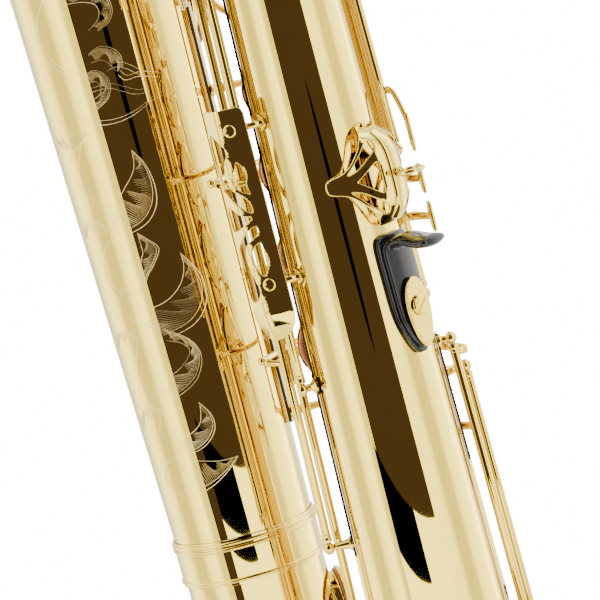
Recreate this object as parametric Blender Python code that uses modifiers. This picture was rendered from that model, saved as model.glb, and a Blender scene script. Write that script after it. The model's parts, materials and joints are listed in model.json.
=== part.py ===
"""Baritone saxophone, built as separate pieces around one straight body tube.

Lengths are millimetres and angles are degrees; MM turns them into metres where a piece is finished.
The body tube's axis is the Z axis of the "body_axis" empty, with the bottom of the bow at z = 0.
Angles around the body tube start at the player's side (+X) and turn towards +Y.
The bell stands on the -X side. The strap ring's centre is the world origin.
"""

import math
from dataclasses import dataclass

import bmesh
import bpy
from mathutils import Matrix, Vector

MM = 0.001
OBJECT_NAME = "baritone_saxophone"

# Gap between two pieces that touch, and between a turning piece and what it turns in.
CLEARANCE = 0.3

# Number of flat sides of the round tubes.
WIDE_TUBE_SIDES = 20
BOW_SIDES = 16
NARROW_TUBE_SIDES = 12

# Body tube: a straight cone that narrows upwards.
BODY_BOTTOM = 122.0
BODY_TOP = 960.0
BODY_RADIUS = 40.75
BODY_TAPER = 0.0189
TUBE_WALL = 1.1

# Bottom bow and bell.
BOW_LEVEL = 114.0
BOW_RADIUS = 72.0
BELL_JOINT = 226.0
BELL_RADIUS = 43.2
BELL_TAPER = 0.0225
BELL_TILT = 1.0
BELL_TOP = 757.0
FLARE_START = 563.0
FLARE_SPREAD = 35.0
RIM_BEAD = 3.0

# Top bow, pigtail loop and neck.
TOP_BOW_LEVEL = 975.0
TOP_BOW_RADIUS = 42.0
TOP_BOW_END = 900.0
TOP_BOW_END_RADIUS = 22.5
LOOP_LEVEL = 860.0
LOOP_RADIUS = 27.0
RECEIVER_LEVEL = 925.0
RECEIVER_BORE = 14.6
RECEIVER_DEPTH = 24.0
LOOP_TOP_RADIUS = 17.0
NECK_RADIUS = 14.2
NECK_END_RADIUS = 7.4
NECK_WALL = 1.1
NECK_REACH = 128.0
NECK_END_LEVEL = 982.0
CORK_RADIUS = 9.0
CORK_LENGTH = 52.0
MOUTHPIECE_LENGTH = 100.0
MOUTHPIECE_RADIUS = 14.0

# Tone holes, pads and cups.
CHIMNEY_HEIGHT = 3.0
CHIMNEY_WALL = 1.2
CHIMNEY_SIDES = 9
CUP_SIDES = 12
PAD_OVERLAP = 2.3
PAD_DEPTH = 4.2
CUP_DOME = 1.6

# Keywork.
TUBE_RADIUS = 2.9
ROD_RADIUS = 1.5
ROD_BORE = 1.8
POST_BALL = 3.6
POST_STEM = 1.9
ARM_RADIUS = 1.9
RIB_THICKNESS = 1.4
CROSS_LIFT = 0.45
CROSS_THICKNESS = 1.6
FLARE_LIFT = 1.1
PEARL_RADIUS = 8.0

# Strap saddle, thumb hook and leg guard.
SADDLE_LEVEL = 443.0
SADDLE_HALF_HEIGHT = 29.0
SADDLE_CREST = 53.0
SADDLE_SPAN = 49.0
SADDLE_THICKNESS = 1.8
RING_MAJOR = 7.5
RING_MINOR = 1.4
STRAP_RING_CENTRE = Vector((SADDLE_CREST + 10.5, 0.0, SADDLE_LEVEL))
HOOK_BOTTOM = 337.0
HOOK_TOP = 409.0
HOOK_HALF_ANGLE = 21.0
HOOK_THICKNESS = 6.2
HOOK_REACH = 71.0
HOOK_SCREW_LEVEL = 365.0
GUARD_TOP = 500.0
GUARD_BOTTOM = 362.0
GUARD_CREASE = Vector((-27.5, -50.0, 0.0))
GUARD_OUTER_WIDTH = 17.0
GUARD_INNER_WIDTH = 15.0
GUARD_OUTER_FACING = 290.0
GUARD_INNER_FACING = 250.0
GUARD_THICKNESS = 1.5
GUARD_SCREW_LEVELS = (488.0, 396.0)
GUARD_SCREW_OFFSET = 7.0

BRASS = ("lacquered_brass", (0.78, 0.56, 0.24, 1.0), 0.18, 1.0)
INNER_BRASS = ("keywork_brass", (0.83, 0.6, 0.28, 1.0), 0.22, 1.0)
STEEL = ("hinge_steel", (0.55, 0.54, 0.52, 1.0), 0.3, 1.0)
EBONITE = ("black_ebonite", (0.012, 0.012, 0.014, 1.0), 0.15, 0.0)
CORK = ("cork", (0.52, 0.34, 0.18, 1.0), 0.85, 0.0)
CANE = ("cane", (0.82, 0.68, 0.4, 1.0), 0.6, 0.0)


# ---------------------------------------------------------------- places on the instrument

def polar(angle: float, reach: float, level: float) -> Vector:
    """Point at an angle and a distance from the body tube's axis."""
    turn = math.radians(angle)
    return Vector((reach * math.cos(turn), reach * math.sin(turn), level))


def body_radius(level: float) -> float:
    """Outer radius of the body tube at a level."""
    return BODY_RADIUS - BODY_TAPER * (level - BODY_BOTTOM)


def on_body(angle: float, height: float, level: float) -> Vector:
    """Point at a height above the body tube's surface."""
    return polar(angle, body_radius(level) + height, level)


BELL_BASE = Vector((
    -BOW_RADIUS * (1.0 + math.cos(math.radians(BELL_TILT))),
    0.0,
    BOW_LEVEL - BOW_RADIUS * math.sin(math.radians(BELL_TILT)),
))
BELL_AXIS = Vector((-math.sin(math.radians(BELL_TILT)), 0.0, math.cos(math.radians(BELL_TILT))))
BELL_SIDE = Vector((math.cos(math.radians(BELL_TILT)), 0.0, math.sin(math.radians(BELL_TILT))))


def bell_radius(level: float) -> float:
    """Outer radius of the bell at a level."""
    straight = BELL_RADIUS + BELL_TAPER * (level - BELL_JOINT)
    rise = max(0.0, level - FLARE_START) / (BELL_TOP - FLARE_START)
    return straight + FLARE_SPREAD * rise ** 3


def bell_centre(level: float) -> Vector:
    """Point on the bell's axis at a level."""
    return BELL_BASE + BELL_AXIS * ((level - BELL_BASE.z) / BELL_AXIS.z)


def bell_out(angle: float) -> Vector:
    """Direction that points away from the bell's axis at an angle."""
    turn = math.radians(angle)
    return BELL_SIDE * math.cos(turn) + Vector((0.0, math.sin(turn), 0.0))


def on_bell(angle: float, height: float, level: float) -> Vector:
    """Point at a height above the bell's surface."""
    return bell_centre(level) + bell_out(angle) * (bell_radius(level) + height)


def bow_radius(share: float) -> float:
    """Outer radius of the bottom bow, by the share of the way from body to bell."""
    start = body_radius(BODY_BOTTOM)
    return start + (BELL_RADIUS - start) * share


def bow_centre(turn: float) -> Vector:
    """Point on the bottom bow's centre line, turned from the body's side."""
    angle = math.radians(turn)
    return Vector((
        -BOW_RADIUS * (1.0 - math.cos(angle)),
        0.0,
        BOW_LEVEL - BOW_RADIUS * math.sin(angle),
    ))


def frame_at(point: Vector, direction: Vector) -> Matrix:
    """Matrix that stands on a point with its Z axis along a direction."""
    rotation = direction.to_track_quat("Z", "Y").to_matrix().to_4x4()
    return Matrix.Translation(point) @ rotation


# ---------------------------------------------------------------- shapes

def new_object(mesh: bpy.types.Mesh) -> bpy.types.Object:
    """Puts a mesh in the scene as a working object."""
    obj = bpy.data.objects.new(mesh.name, mesh)
    bpy.context.scene.collection.objects.link(obj)
    return obj


def from_bmesh(shape: bmesh.types.BMesh) -> bpy.types.Object:
    """Turns a bmesh into a working object with its faces pointing out."""
    bmesh.ops.recalc_face_normals(shape, faces=shape.faces)
    mesh = bpy.data.meshes.new("shape")
    shape.to_mesh(mesh)
    shape.free()
    return new_object(mesh)


def baked(obj: bpy.types.Object) -> bpy.types.Object:
    """Replaces an object by a plain mesh of what its modifiers make."""
    bpy.context.view_layer.update()
    evaluated = obj.evaluated_get(bpy.context.evaluated_depsgraph_get())
    mesh = bpy.data.meshes.new_from_object(evaluated)
    bpy.data.objects.remove(obj)
    shape = bmesh.new()
    shape.from_mesh(mesh)
    bmesh.ops.remove_doubles(shape, verts=shape.verts, dist=0.0005)
    return from_bmesh(shape)


def taper(start: Vector, end: Vector, radius: float, end_radius: float, sides: int = 7) -> bpy.types.Object:
    """Solid cone or cylinder between two points."""
    axis = end - start
    shape = bmesh.new()
    bmesh.ops.create_cone(
        shape, cap_ends=True, segments=sides, radius1=radius, radius2=end_radius,
        depth=axis.length, matrix=frame_at((start + end) / 2.0, axis),
    )
    return from_bmesh(shape)


def rod(start: Vector, end: Vector, radius: float, sides: int = 7) -> bpy.types.Object:
    """Solid cylinder between two points."""
    return taper(start, end, radius, radius, sides)


def ball(centre: Vector, radii: tuple[float, float, float], sides: int = 8) -> bpy.types.Object:
    """Sphere, or an ellipsoid when its three radii differ."""
    shape = bmesh.new()
    place = Matrix.Translation(centre) @ Matrix.Diagonal((*radii, 1.0))
    bmesh.ops.create_uvsphere(shape, u_segments=sides, v_segments=sides // 2 + 1, radius=1.0, matrix=place)
    return from_bmesh(shape)


def bar(start: Vector, end: Vector, width: float, thickness: float, facing: Vector) -> bpy.types.Object:
    """Flat bar between two points, its thickness along the facing direction."""
    along = (end - start).normalized()
    across = facing.cross(along).normalized()
    out = along.cross(across)
    turn = Matrix((along, across, out)).transposed().to_4x4()
    size = Matrix.Diagonal(((end - start).length, width, thickness, 1.0))
    shape = bmesh.new()
    bmesh.ops.create_cube(shape, size=1.0, matrix=Matrix.Translation((start + end) / 2.0) @ turn @ size)
    return from_bmesh(shape)


def turned(profile: list[tuple[float, float]], place: Matrix, steps: int = 20) -> bpy.types.Object:
    """Solid of revolution: a closed profile of (radius, height) points, outer side from top to bottom."""
    mesh = bpy.data.meshes.new("profile")
    count = len(profile)
    edges = [(index, index + 1) for index in range(count - 1)]
    if profile[0][0] > 0.0 or profile[-1][0] > 0.0:
        edges.append((count - 1, 0))
    mesh.from_pydata([(radius, 0.0, height) for radius, height in profile], edges, [])
    obj = new_object(mesh)
    screw = obj.modifiers.new("Screw", "SCREW")
    screw.steps = steps
    screw.render_steps = steps
    screw.use_merge_vertices = True
    screw.merge_threshold = 0.0001
    solid = baked(obj)
    solid.data.transform(place)
    return solid


def swept(points: list[Vector], radii: list[float], sides: int = 6) -> bpy.types.Object:
    """Round wire or tube with filled ends along a line of points."""
    curve = bpy.data.curves.new("wire", "CURVE")
    curve.dimensions = "3D"
    curve.bevel_depth = 1.0
    curve.bevel_resolution = sides // 2 - 2
    curve.use_fill_caps = True
    spline = curve.splines.new("POLY")
    spline.points.add(len(points) - 1)
    for knot, point, radius in zip(spline.points, points, radii):
        knot.co = (*point, 1.0)
        knot.radius = radius
    obj = bpy.data.objects.new("wire", curve)
    bpy.context.scene.collection.objects.link(obj)
    return baked(obj)


def wire(points: list[Vector], radius: float, sides: int = 4) -> bpy.types.Object:
    """Round wire of one thickness."""
    return swept(points, [radius] * len(points), sides)


def hoop(place: Matrix, major: float, minor: float, steps: int = 18) -> bpy.types.Object:
    """Closed ring of round wire in the XY plane of its place."""
    profile = []
    for step in range(6):
        turn = -math.tau * (step + 0.5) / 6
        profile.append((major + minor * math.cos(turn), minor * math.sin(turn)))
    return turned(profile, place, steps)


def sheet(rows: list[list[Vector]], thickness: float) -> bpy.types.Object:
    """Plate of even thickness, grown outwards from a grid of points."""
    shape = bmesh.new()
    grid = [[shape.verts.new(point) for point in row] for row in rows]
    for lower, upper in zip(grid, grid[1:]):
        for index in range(len(lower) - 1):
            shape.faces.new((lower[index], lower[index + 1], upper[index + 1], upper[index]))
    mesh = bpy.data.meshes.new("sheet")
    shape.to_mesh(mesh)
    shape.free()
    obj = new_object(mesh)
    solidify = obj.modifiers.new("Solidify", "SOLIDIFY")
    solidify.thickness = thickness
    solidify.offset = 1.0
    solidify.use_even_offset = True
    return baked(obj)


def patch(surface, angles: tuple[float, float], levels: tuple[float, float],
          thickness: float = RIB_THICKNESS, lift: float = CLEARANCE, rows: int = 1) -> bpy.types.Object:
    """Curved plate that lies just above a tube's surface."""
    columns = max(1, round(abs(angles[1] - angles[0]) / 9.0))
    grid = []
    for row in range(rows + 1):
        level = levels[0] + (levels[1] - levels[0]) * row / rows
        steps = [angles[0] + (angles[1] - angles[0]) * column / columns for column in range(columns + 1)]
        grid.append([surface(angle, lift, level) for angle in steps])
    return sheet(grid, thickness)


def outline_plate(outlines: list[list[tuple[float, float]]], thickness: float) -> bpy.types.Object:
    """Flat plate in the XY plane, centred on z = 0; the outlines after the first are windows."""
    curve = bpy.data.curves.new("outline", "CURVE")
    curve.dimensions = "2D"
    curve.fill_mode = "BOTH"
    curve.extrude = thickness / 2.0
    for outline in outlines:
        spline = curve.splines.new("POLY")
        spline.points.add(len(outline) - 1)
        spline.use_cyclic_u = True
        for knot, (across, up) in zip(spline.points, outline):
            knot.co = (across, up, 0.0, 1.0)
    obj = bpy.data.objects.new("outline", curve)
    bpy.context.scene.collection.objects.link(obj)
    return baked(obj)


def oval(centre: tuple[float, float], half_width: float, half_height: float, count: int = 12) -> list:
    """Points of an upright oval."""
    turns = [math.tau * step / count for step in range(count)]
    return [(centre[0] + half_width * math.cos(turn), centre[1] + half_height * math.sin(turn))
            for turn in turns]


def combine(shapes: list, cutters: list = ()) -> bpy.types.Object:
    """Joins overlapping shapes into one solid, then takes the cutters away."""
    base = shapes[0]
    spent = []
    for operation, operands in (("UNION", shapes[1:]), ("DIFFERENCE", list(cutters))):
        for operand in operands:
            modifier = base.modifiers.new(operation.title(), "BOOLEAN")
            modifier.operation = operation
            modifier.solver = "EXACT"
            modifier.object = operand
            spent.append(operand)
    result = baked(base)
    for operand in spent:
        bpy.data.objects.remove(operand)
    return result


# ---------------------------------------------------------------- finished pieces

def material_for(look: tuple) -> bpy.types.Material:
    """Finds or makes the material for a look."""
    name, colour, roughness, metallic = look
    material = bpy.data.materials.get(name)
    if material is None:
        material = bpy.data.materials.new(name)
        material.use_nodes = True
        shader = material.node_tree.nodes["Principled BSDF"]
        shader.inputs["Base Color"].default_value = colour
        shader.inputs["Roughness"].default_value = roughness
        shader.inputs["Metallic"].default_value = metallic
    return material


class Saxophone:
    """Collects the finished pieces under one empty that stands on the body tube's axis."""

    def __init__(self) -> None:
        self.collection = bpy.data.collections.new(OBJECT_NAME)
        bpy.context.scene.collection.children.link(self.collection)
        self.axis = bpy.data.objects.new("body_axis", None)
        self.axis.location = -STRAP_RING_CENTRE * MM
        self.collection.objects.link(self.axis)

    def add(self, name: str, solid: bpy.types.Object, look: tuple, pivot: Vector = Vector()) -> None:
        """Finishes a piece: metres, its origin on its pivot, its material and smooth round faces."""
        mesh = solid.data
        mesh.transform(Matrix.Scale(MM, 4) @ Matrix.Translation(-pivot))
        mesh.name = name
        mesh.materials.clear()
        mesh.materials.append(material_for(look))
        mesh.shade_smooth()
        mesh.set_sharp_from_angle(angle=math.radians(35.0))
        solid.name = name
        solid.parent = self.axis
        solid.location = pivot * MM
        bpy.context.scene.collection.objects.unlink(solid)
        self.collection.objects.link(solid)


# ---------------------------------------------------------------- keys

@dataclass(frozen=True)
class Cup:
    """Padded cup: the centre of its tone hole's rim, the way out of the tube, and its radius."""

    seat: Vector
    normal: Vector
    radius: float

    def raised(self, height: float) -> Vector:
        """Point above the rim's centre."""
        return self.seat + self.normal * height


@dataclass(frozen=True)
class Key:
    """A hinge tube between two points, the cup it lifts, its touch and how far it opens at rest."""

    name: str
    low: Vector
    high: Vector
    cup: Cup | None = None
    over: tuple[Vector, ...] = ()
    touch: tuple[Vector, ...] = ()
    touch_size: tuple[float, float, float] = (12.0, 8.0, 3.0)
    extra: tuple[tuple[Vector, ...], ...] = ()
    open_angle: float = 0.0
    hollow: bool = False
    pearl: bool = False


def body_cup(angle: float, level: float, radius: float) -> Cup:
    """Cup over a tone hole in the body tube."""
    return Cup(on_body(angle, CHIMNEY_HEIGHT, level), polar(angle, 1.0, 0.0), radius)


def bell_cup(angle: float, level: float, radius: float) -> Cup:
    """Cup over a tone hole in the bell."""
    return Cup(on_bell(angle, CHIMNEY_HEIGHT, level), bell_out(angle), radius)


def hinge_point(key: Key, level: float) -> Vector:
    """Point on a key's hinge line at a level."""
    share = (level - key.low.z) / (key.high.z - key.low.z)
    return key.low.lerp(key.high, min(max(share, 0.02), 0.98))


def cup_solid(cup: Cup) -> bpy.types.Object:
    """Cup with its pad, closed on the tone hole's rim but for the clearance."""
    top = PAD_DEPTH + CUP_DOME
    profile = [
        (0.0, top), (cup.radius * 0.62, top), (cup.radius, PAD_DEPTH), (cup.radius, 0.0), (0.0, 0.0),
    ]
    return turned(profile, frame_at(cup.raised(CLEARANCE), cup.normal), CUP_SIDES)


def cup_arm(key: Key) -> bpy.types.Object:
    """Arm that rises from the hinge tube over the cup's edge to its middle."""
    cup = key.cup
    root = hinge_point(key, key.over[0].z + 12.0 if key.over else cup.seat.z)
    middle = cup.raised(PAD_DEPTH + CUP_DOME)
    sideways = (key.over[-1] if key.over else root) - middle
    sideways -= cup.normal * sideways.dot(cup.normal)
    sideways.normalize()
    crest = middle + sideways * cup.radius * 0.72 + cup.normal * 2.0
    return wire([root, *key.over, crest, middle, middle - sideways * cup.radius * 0.3], ARM_RADIUS)


def touch_solids(key: Key) -> list:
    """Arm from the hinge tube to the touch, and the touch plate or pearl holder at its end."""
    path = [hinge_point(key, key.touch[0].z), *key.touch]
    shapes = [wire(path, ARM_RADIUS)]
    end = key.touch[-1]
    out = Vector((end.x, end.y, 0.0)).normalized()
    length, width, thickness = key.touch_size
    if key.pearl:
        profile = [(0.0, 2.2), (PEARL_RADIUS, 1.4), (PEARL_RADIUS, -1.4), (0.0, -1.4)]
        shapes.append(turned(profile, frame_at(end, out), 12))
    else:
        half = Vector((0.0, 0.0, length / 2.0))
        shapes.append(bar(end - half, end + half, width, thickness, out))
    return shapes


def build_key(sax: Saxophone, key: Key) -> None:
    """Builds one key in its closed place and swings it to where it stands at rest."""
    shapes = [rod(key.low, key.high, TUBE_RADIUS)]
    cutters = []
    if key.cup:
        shapes += [cup_arm(key), cup_solid(key.cup)]
    if key.touch:
        shapes += touch_solids(key)
    for route in key.extra:
        shapes.append(wire([hinge_point(key, route[0].z), *route], ARM_RADIUS))
    if key.hollow:
        line = (key.high - key.low).normalized()
        cutters.append(rod(key.low - line, key.high + line, ROD_BORE))
    solid = combine(shapes, cutters)
    if key.open_angle:
        solid.data.transform(opening(key, key.open_angle))
    sax.add(key.name, solid, INNER_BRASS, key.low)


def opening(key: Key, angle: float) -> Matrix:
    """Turn about the hinge that lifts the cup by an angle."""
    axis = (key.high - key.low).normalized()
    lift = axis.cross(key.cup.seat - key.low).dot(key.cup.normal)
    turn = Matrix.Rotation(math.radians(math.copysign(angle, lift)), 4, axis)
    return Matrix.Translation(key.low) @ turn @ Matrix.Translation(-key.low)


def between_posts(line, low: float, high: float) -> tuple[Vector, Vector]:
    """Ends of a hinge tube that fills the room between two posts."""
    return line(low + POST_BALL + CLEARANCE), line(high - POST_BALL - CLEARANCE)


def body_line(angle: float, height: float):
    """Hinge line that runs along the body tube."""
    return lambda level: on_body(angle, height, level)


STACK_LINE = body_line(124.0, 12.0)
G_SHARP_LINE = body_line(160.0, 12.0)
SIDE_E_LINE = body_line(58.0, 9.0)
SIDE_C_LINE = body_line(68.0, 9.0)
SIDE_B_FLAT_LINE = body_line(78.0, 9.0)
LOW_E_FLAT_LINE = body_line(49.0, 9.0)
LOW_C_LINE = body_line(60.0, 15.0)
LOW_B_LINE = body_line(220.0, 15.5)
LOW_C_SHARP_LINE = body_line(207.0, 12.0)
LOW_B_FLAT_LINE = body_line(236.0, 9.5)
PALM_D_LINE = body_line(259.0, 9.0)
PALM_E_FLAT_LINE = body_line(272.0, 9.0)
PALM_F_LINE = body_line(286.0, 9.0)
OCTAVE_LINE = body_line(342.0, 10.0)


def bell_line(level: float) -> Vector:
    """Hinge line of the bell keys, in the gap between bell and body."""
    low, high = Vector((-92.0, 50.0, 300.0)), Vector((-94.0, 54.0, 604.0))
    return low.lerp(high, (level - low.z) / (high.z - low.z))


@dataclass(frozen=True)
class StackKey:
    """One key of the main stack: its cup, the room of its hinge tube and its pearl."""

    name: str
    level: float
    radius: float
    low: float
    high: float
    open_angle: float
    pearl_level: float | None = None


UPPER_STACK = (
    StackKey("g_key", 585.0, 17.0, 576.0, 606.0, 9.0, 596.0),
    StackKey("a_key", 640.0, 15.0, 608.0, 668.0, 9.0, 664.0),
    StackKey("b_key", 700.0, 13.0, 670.0, 756.0, 9.0, 722.0),
)
LOWER_STACK = (
    StackKey("d_key", 345.0, 23.5, 322.0, 368.0, 10.0, 338.0),
    StackKey("e_key", 400.0, 22.0, 370.0, 424.0, 10.0, 376.0),
    StackKey("f_key", 452.0, 20.5, 426.0, 476.0, 10.0, 430.0),
    StackKey("f_sharp_key", 500.0, 19.0, 478.0, 516.0, 9.0, None),
)
STACK_CUP_ANGLE = 162.0


def stack_keys() -> list[Key]:
    """Keys of both stacks, whose tubes share a rod on each stack."""
    keys = []
    for plan in UPPER_STACK + LOWER_STACK:
        touch = ()
        if plan.pearl_level:
            touch = (on_body(128.0, 19.0, plan.pearl_level), on_body(143.0, 23.0, plan.pearl_level))
        keys.append(Key(
            plan.name, STACK_LINE(plan.low), STACK_LINE(plan.high - CLEARANCE),
            body_cup(STACK_CUP_ANGLE, plan.level, plan.radius), touch=touch,
            open_angle=plan.open_angle, hollow=True, pearl=plan.pearl_level is not None,
        ))
    return keys


def arc_route(start: float, end: float, height: float, level: float) -> tuple[Vector, ...]:
    """Points that curl around the body tube at one level."""
    count = max(2, round(abs(end - start) / 14.0))
    return tuple(on_body(start + (end - start) * step / count, height, level) for step in range(count + 1))


def right_keys() -> list[Key]:
    """Side keys and the low E flat and low C keys, on the player's right."""
    return [
        Key("side_e_key", *between_posts(SIDE_E_LINE, 450.0, 812.0), body_cup(96.0, 795.0, 12.0), (),
            (on_body(54.0, 14.0, 484.0), on_body(48.0, 17.0, 470.0), on_body(48.0, 17.5, 459.0)),
            (23.0, 9.0, 3.0)),
        Key("side_c_key", *between_posts(SIDE_C_LINE, 424.0, 672.0), body_cup(96.0, 655.0, 12.0), (),
            (on_body(64.0, 13.5, 431.0), on_body(50.0, 17.0, 431.0)), (18.0, 9.0, 3.0)),
        Key("side_b_flat_key", *between_posts(SIDE_B_FLAT_LINE, 362.0, 640.0), body_cup(95.0, 622.0, 12.0), (),
            (on_body(72.0, 13.5, 408.0), on_body(50.0, 17.0, 408.0)), (18.0, 9.0, 3.0)),
        Key("low_e_flat_key", *between_posts(LOW_E_FLAT_LINE, 136.0, 336.0), body_cup(8.0, 157.0, 24.0), (),
            (on_body(52.0, 16.0, 327.0), *arc_route(62.0, 96.0, 15.0, 327.0), on_body(103.0, 17.0, 306.0)),
            (24.0, 13.0, 3.0)),
        Key("low_c_key", *between_posts(LOW_C_LINE, 146.0, 316.0),
            Cup(bow_centre(52.0) + Vector((0.0, bow_radius(0.3) + CHIMNEY_HEIGHT, 0.0)),
                Vector((0, 1, 0)), 26.0),
            (on_body(62.0, 24.0, 148.0),),
            (*arc_route(66.0, 96.0, 17.0, 276.0), on_body(104.0, 17.0, 278.0)),
            (24.0, 13.0, 3.0), open_angle=8.0),
    ]


def left_keys() -> list[Key]:
    """Little-finger levers, the low C sharp key and the G sharp key."""
    turn = 52.0
    out = bell_out(turn)
    bow_top = Cup(bell_centre(170.0) + out * (bow_radius(0.9) + CHIMNEY_HEIGHT), out, 27.0)
    return [
        Key("low_b_lever", *between_posts(LOW_B_LINE, 232.0, 605.0),
            touch=(on_body(217.0, 23.0, 572.0), on_body(213.0, 25.0, 572.0)), touch_size=(24.0, 11.0, 3.0),
            extra=((Vector((-60.0, -27.0, 345.0)),),)),
        Key("low_b_flat_lever", *between_posts(LOW_B_FLAT_LINE, 330.0, 600.0),
            touch=(on_body(234.0, 22.0, 572.0), on_body(231.0, 25.0, 572.0)), touch_size=(24.0, 11.0, 3.0),
            extra=((Vector((-37.0, -42.0, 455.0)), Vector((-50.0, -38.0, 455.0)),
                    Vector((-60.0, -30.0, 455.0))),)),
        Key("low_c_sharp_key", *between_posts(LOW_C_SHARP_LINE, 158.0, 600.0), bow_top, (),
            (on_body(202.0, 20.0, 584.0), on_body(196.0, 25.0, 584.0)), (24.0, 11.0, 3.0)),
        Key("g_sharp_key", G_SHARP_LINE(532.0), G_SHARP_LINE(558.0), body_cup(124.0, 545.0, 15.0), (),
            (on_body(172.0, 17.0, 548.0), on_body(184.0, 23.0, 562.0), on_body(186.0, 25.0, 600.0),
             on_body(200.0, 25.0, 622.0)),
            (20.0, 16.0, 3.0)),
    ]


def octave_key() -> Key:
    """Left thumb's octave lever with its pip pad."""
    return Key("octave_lever", *between_posts(OCTAVE_LINE, 592.0, 702.0), body_cup(12.0, 690.0, 6.5), (),
               (on_body(346.0, 15.0, 640.0), on_body(2.0, 15.0, 640.0)), (20.0, 12.0, 2.6))


def palm_keys() -> list[Key]:
    """The three palm keys."""
    return [
        Key("palm_d_key", *between_posts(PALM_D_LINE, 690.0, 792.0), body_cup(228.0, 782.0, 12.5), (),
            (on_body(276.0, 14.0, 700.0), on_body(290.0, 17.0, 694.0)), (26.0, 11.0, 4.0)),
        Key("palm_e_flat_key", *between_posts(PALM_E_FLAT_LINE, 730.0, 842.0), body_cup(238.0, 830.0, 11.5), (),
            (on_body(286.0, 14.0, 742.0), on_body(300.0, 17.0, 734.0)), (26.0, 11.0, 4.0)),
        Key("palm_f_key", *between_posts(PALM_F_LINE, 768.0, 888.0), body_cup(248.0, 876.0, 11.0), (),
            (on_body(296.0, 14.0, 782.0), on_body(310.0, 17.0, 774.0)), (26.0, 11.0, 4.0)),
    ]


def bell_keys() -> list[Key]:
    """The large keys on the bell, which stand open."""
    plans = (
        ("low_b_key", 300.0, 388.0, 330.0, 30.0, ((Vector((-64.0, -19.0, 345.0)),),)),
        ("low_b_flat_key", 388.0, 502.0, 440.0, 31.0, ((Vector((-64.0, -22.0, 455.0)),),)),
        ("low_a_key", 502.0, 604.0, 557.0, 33.0, ()),
    )
    return [
        Key(name, *between_posts(bell_line, low, high), bell_cup(95.0, level, radius),
            extra=extra, open_angle=5.5)
        for name, low, high, level, radius, extra in plans
    ]


# ---------------------------------------------------------------- posts and ribs

def post(foot: Vector, head: Vector) -> list:
    """Round foot, tapered stem and ball of one hinge post."""
    up = (head - foot).normalized()
    return [
        taper(foot - up * 0.4, foot + up * 1.8, 4.2, 3.0, 5),
        taper(foot, head, POST_STEM + 0.5, POST_STEM, 4),
        ball(head, (POST_BALL, POST_BALL, POST_BALL), 6),
    ]


def add_rib(sax: Saxophone, name: str, pads: list, posts: list, bores: list = ()) -> None:
    """Plates on a tube with the posts that stand on them, joined into one piece."""
    shapes = list(pads)
    for foot, head in posts:
        shapes += post(foot, head)
    sax.add(name, combine(shapes, bores), BRASS)


def body_posts(line, levels: tuple[float, ...], foot_angle: float) -> list:
    """Foot and head of the posts of a hinge line over the body tube."""
    lift = CLEARANCE + RIB_THICKNESS * 0.6
    return [(on_body(foot_angle, lift, level), line(level)) for level in levels]


def cross_pad(angles: tuple[float, float], level: float) -> bpy.types.Object:
    """Short plate across a rib, under posts that stand beside it."""
    return patch(on_body, angles, (level - 5.0, level + 5.0), CROSS_THICKNESS, CROSS_LIFT)


def add_ribs(sax: Saxophone) -> None:
    """All ribs, each with its posts."""
    for name, low, high in (("upper_stack_rib", 572.0, 760.0), ("lower_stack_rib", 318.0, 520.0)):
        bore = rod(STACK_LINE(low - 8.0), STACK_LINE(high + 8.0), ROD_BORE)
        add_rib(sax, name, [patch(on_body, (117.5, 125.0), (low - 5.0, high + 5.0))],
                body_posts(STACK_LINE, (low, high), 124.0), [bore])
        steel_rod = rod(STACK_LINE(low - 5.5), STACK_LINE(high + 5.5), ROD_RADIUS)
        sax.add(name.replace("rib", "rod"), steel_rod, STEEL)

    pads = [patch(on_body, (64.0, 72.0), (354.0, 821.0))]
    pads += [cross_pad((53.0, 73.0), level) for level in (450.0, 812.0)]
    pads += [cross_pad((63.0, 83.0), level) for level in (362.0, 640.0)]
    posts = body_posts(SIDE_E_LINE, (450.0, 812.0), 58.0)
    posts += body_posts(SIDE_C_LINE, (424.0, 672.0), 68.0)
    posts += body_posts(SIDE_B_FLAT_LINE, (362.0, 640.0), 78.0)
    add_rib(sax, "side_rib", pads, posts)

    pads = [patch(on_body, (45.0, 64.0), (130.0, 341.0))]
    posts = body_posts(LOW_E_FLAT_LINE, (336.0, 136.0), 49.0)
    posts += body_posts(LOW_C_LINE, (316.0, 146.0), 60.0)
    add_rib(sax, "low_key_rib", pads, posts)

    pads = [patch(on_body, (217.0, 225.0), (150.0, 612.0)), cross_pad((202.0, 241.0), 600.0),
            cross_pad((216.0, 241.0), 330.0), cross_pad((202.0, 226.0), 158.0)]
    posts = body_posts(LOW_B_LINE, (605.0, 232.0), 220.0)
    posts += body_posts(LOW_B_FLAT_LINE, (600.0, 330.0), 236.0)
    posts += body_posts(LOW_C_SHARP_LINE, (600.0, 158.0), 207.0)
    add_rib(sax, "left_rib", pads, posts)

    pads = [patch(on_bell, (30.0, 40.0), (294.0, 610.0), 2.0, FLARE_LIFT)]
    posts = [(on_bell(35.0, FLARE_LIFT + 1.2, level), bell_line(level)) for level in (300.0, 388.0, 502.0, 604.0)]
    add_rib(sax, "bell_key_rib", pads, posts)


# ---------------------------------------------------------------- tubes

def chimneys(cups: list[Cup]) -> tuple[list, list]:
    """Tone hole walls to add to a tube, and the holes to cut through them."""
    walls = []
    holes = []
    for cup in cups:
        bore = cup.radius - PAD_OVERLAP - CHIMNEY_WALL
        walls.append(rod(cup.raised(-16.0), cup.seat, bore + CHIMNEY_WALL, CHIMNEY_SIDES))
        holes.append(rod(cup.raised(-18.0), cup.raised(2.0), bore, CHIMNEY_SIDES))
    return walls, holes


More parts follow.
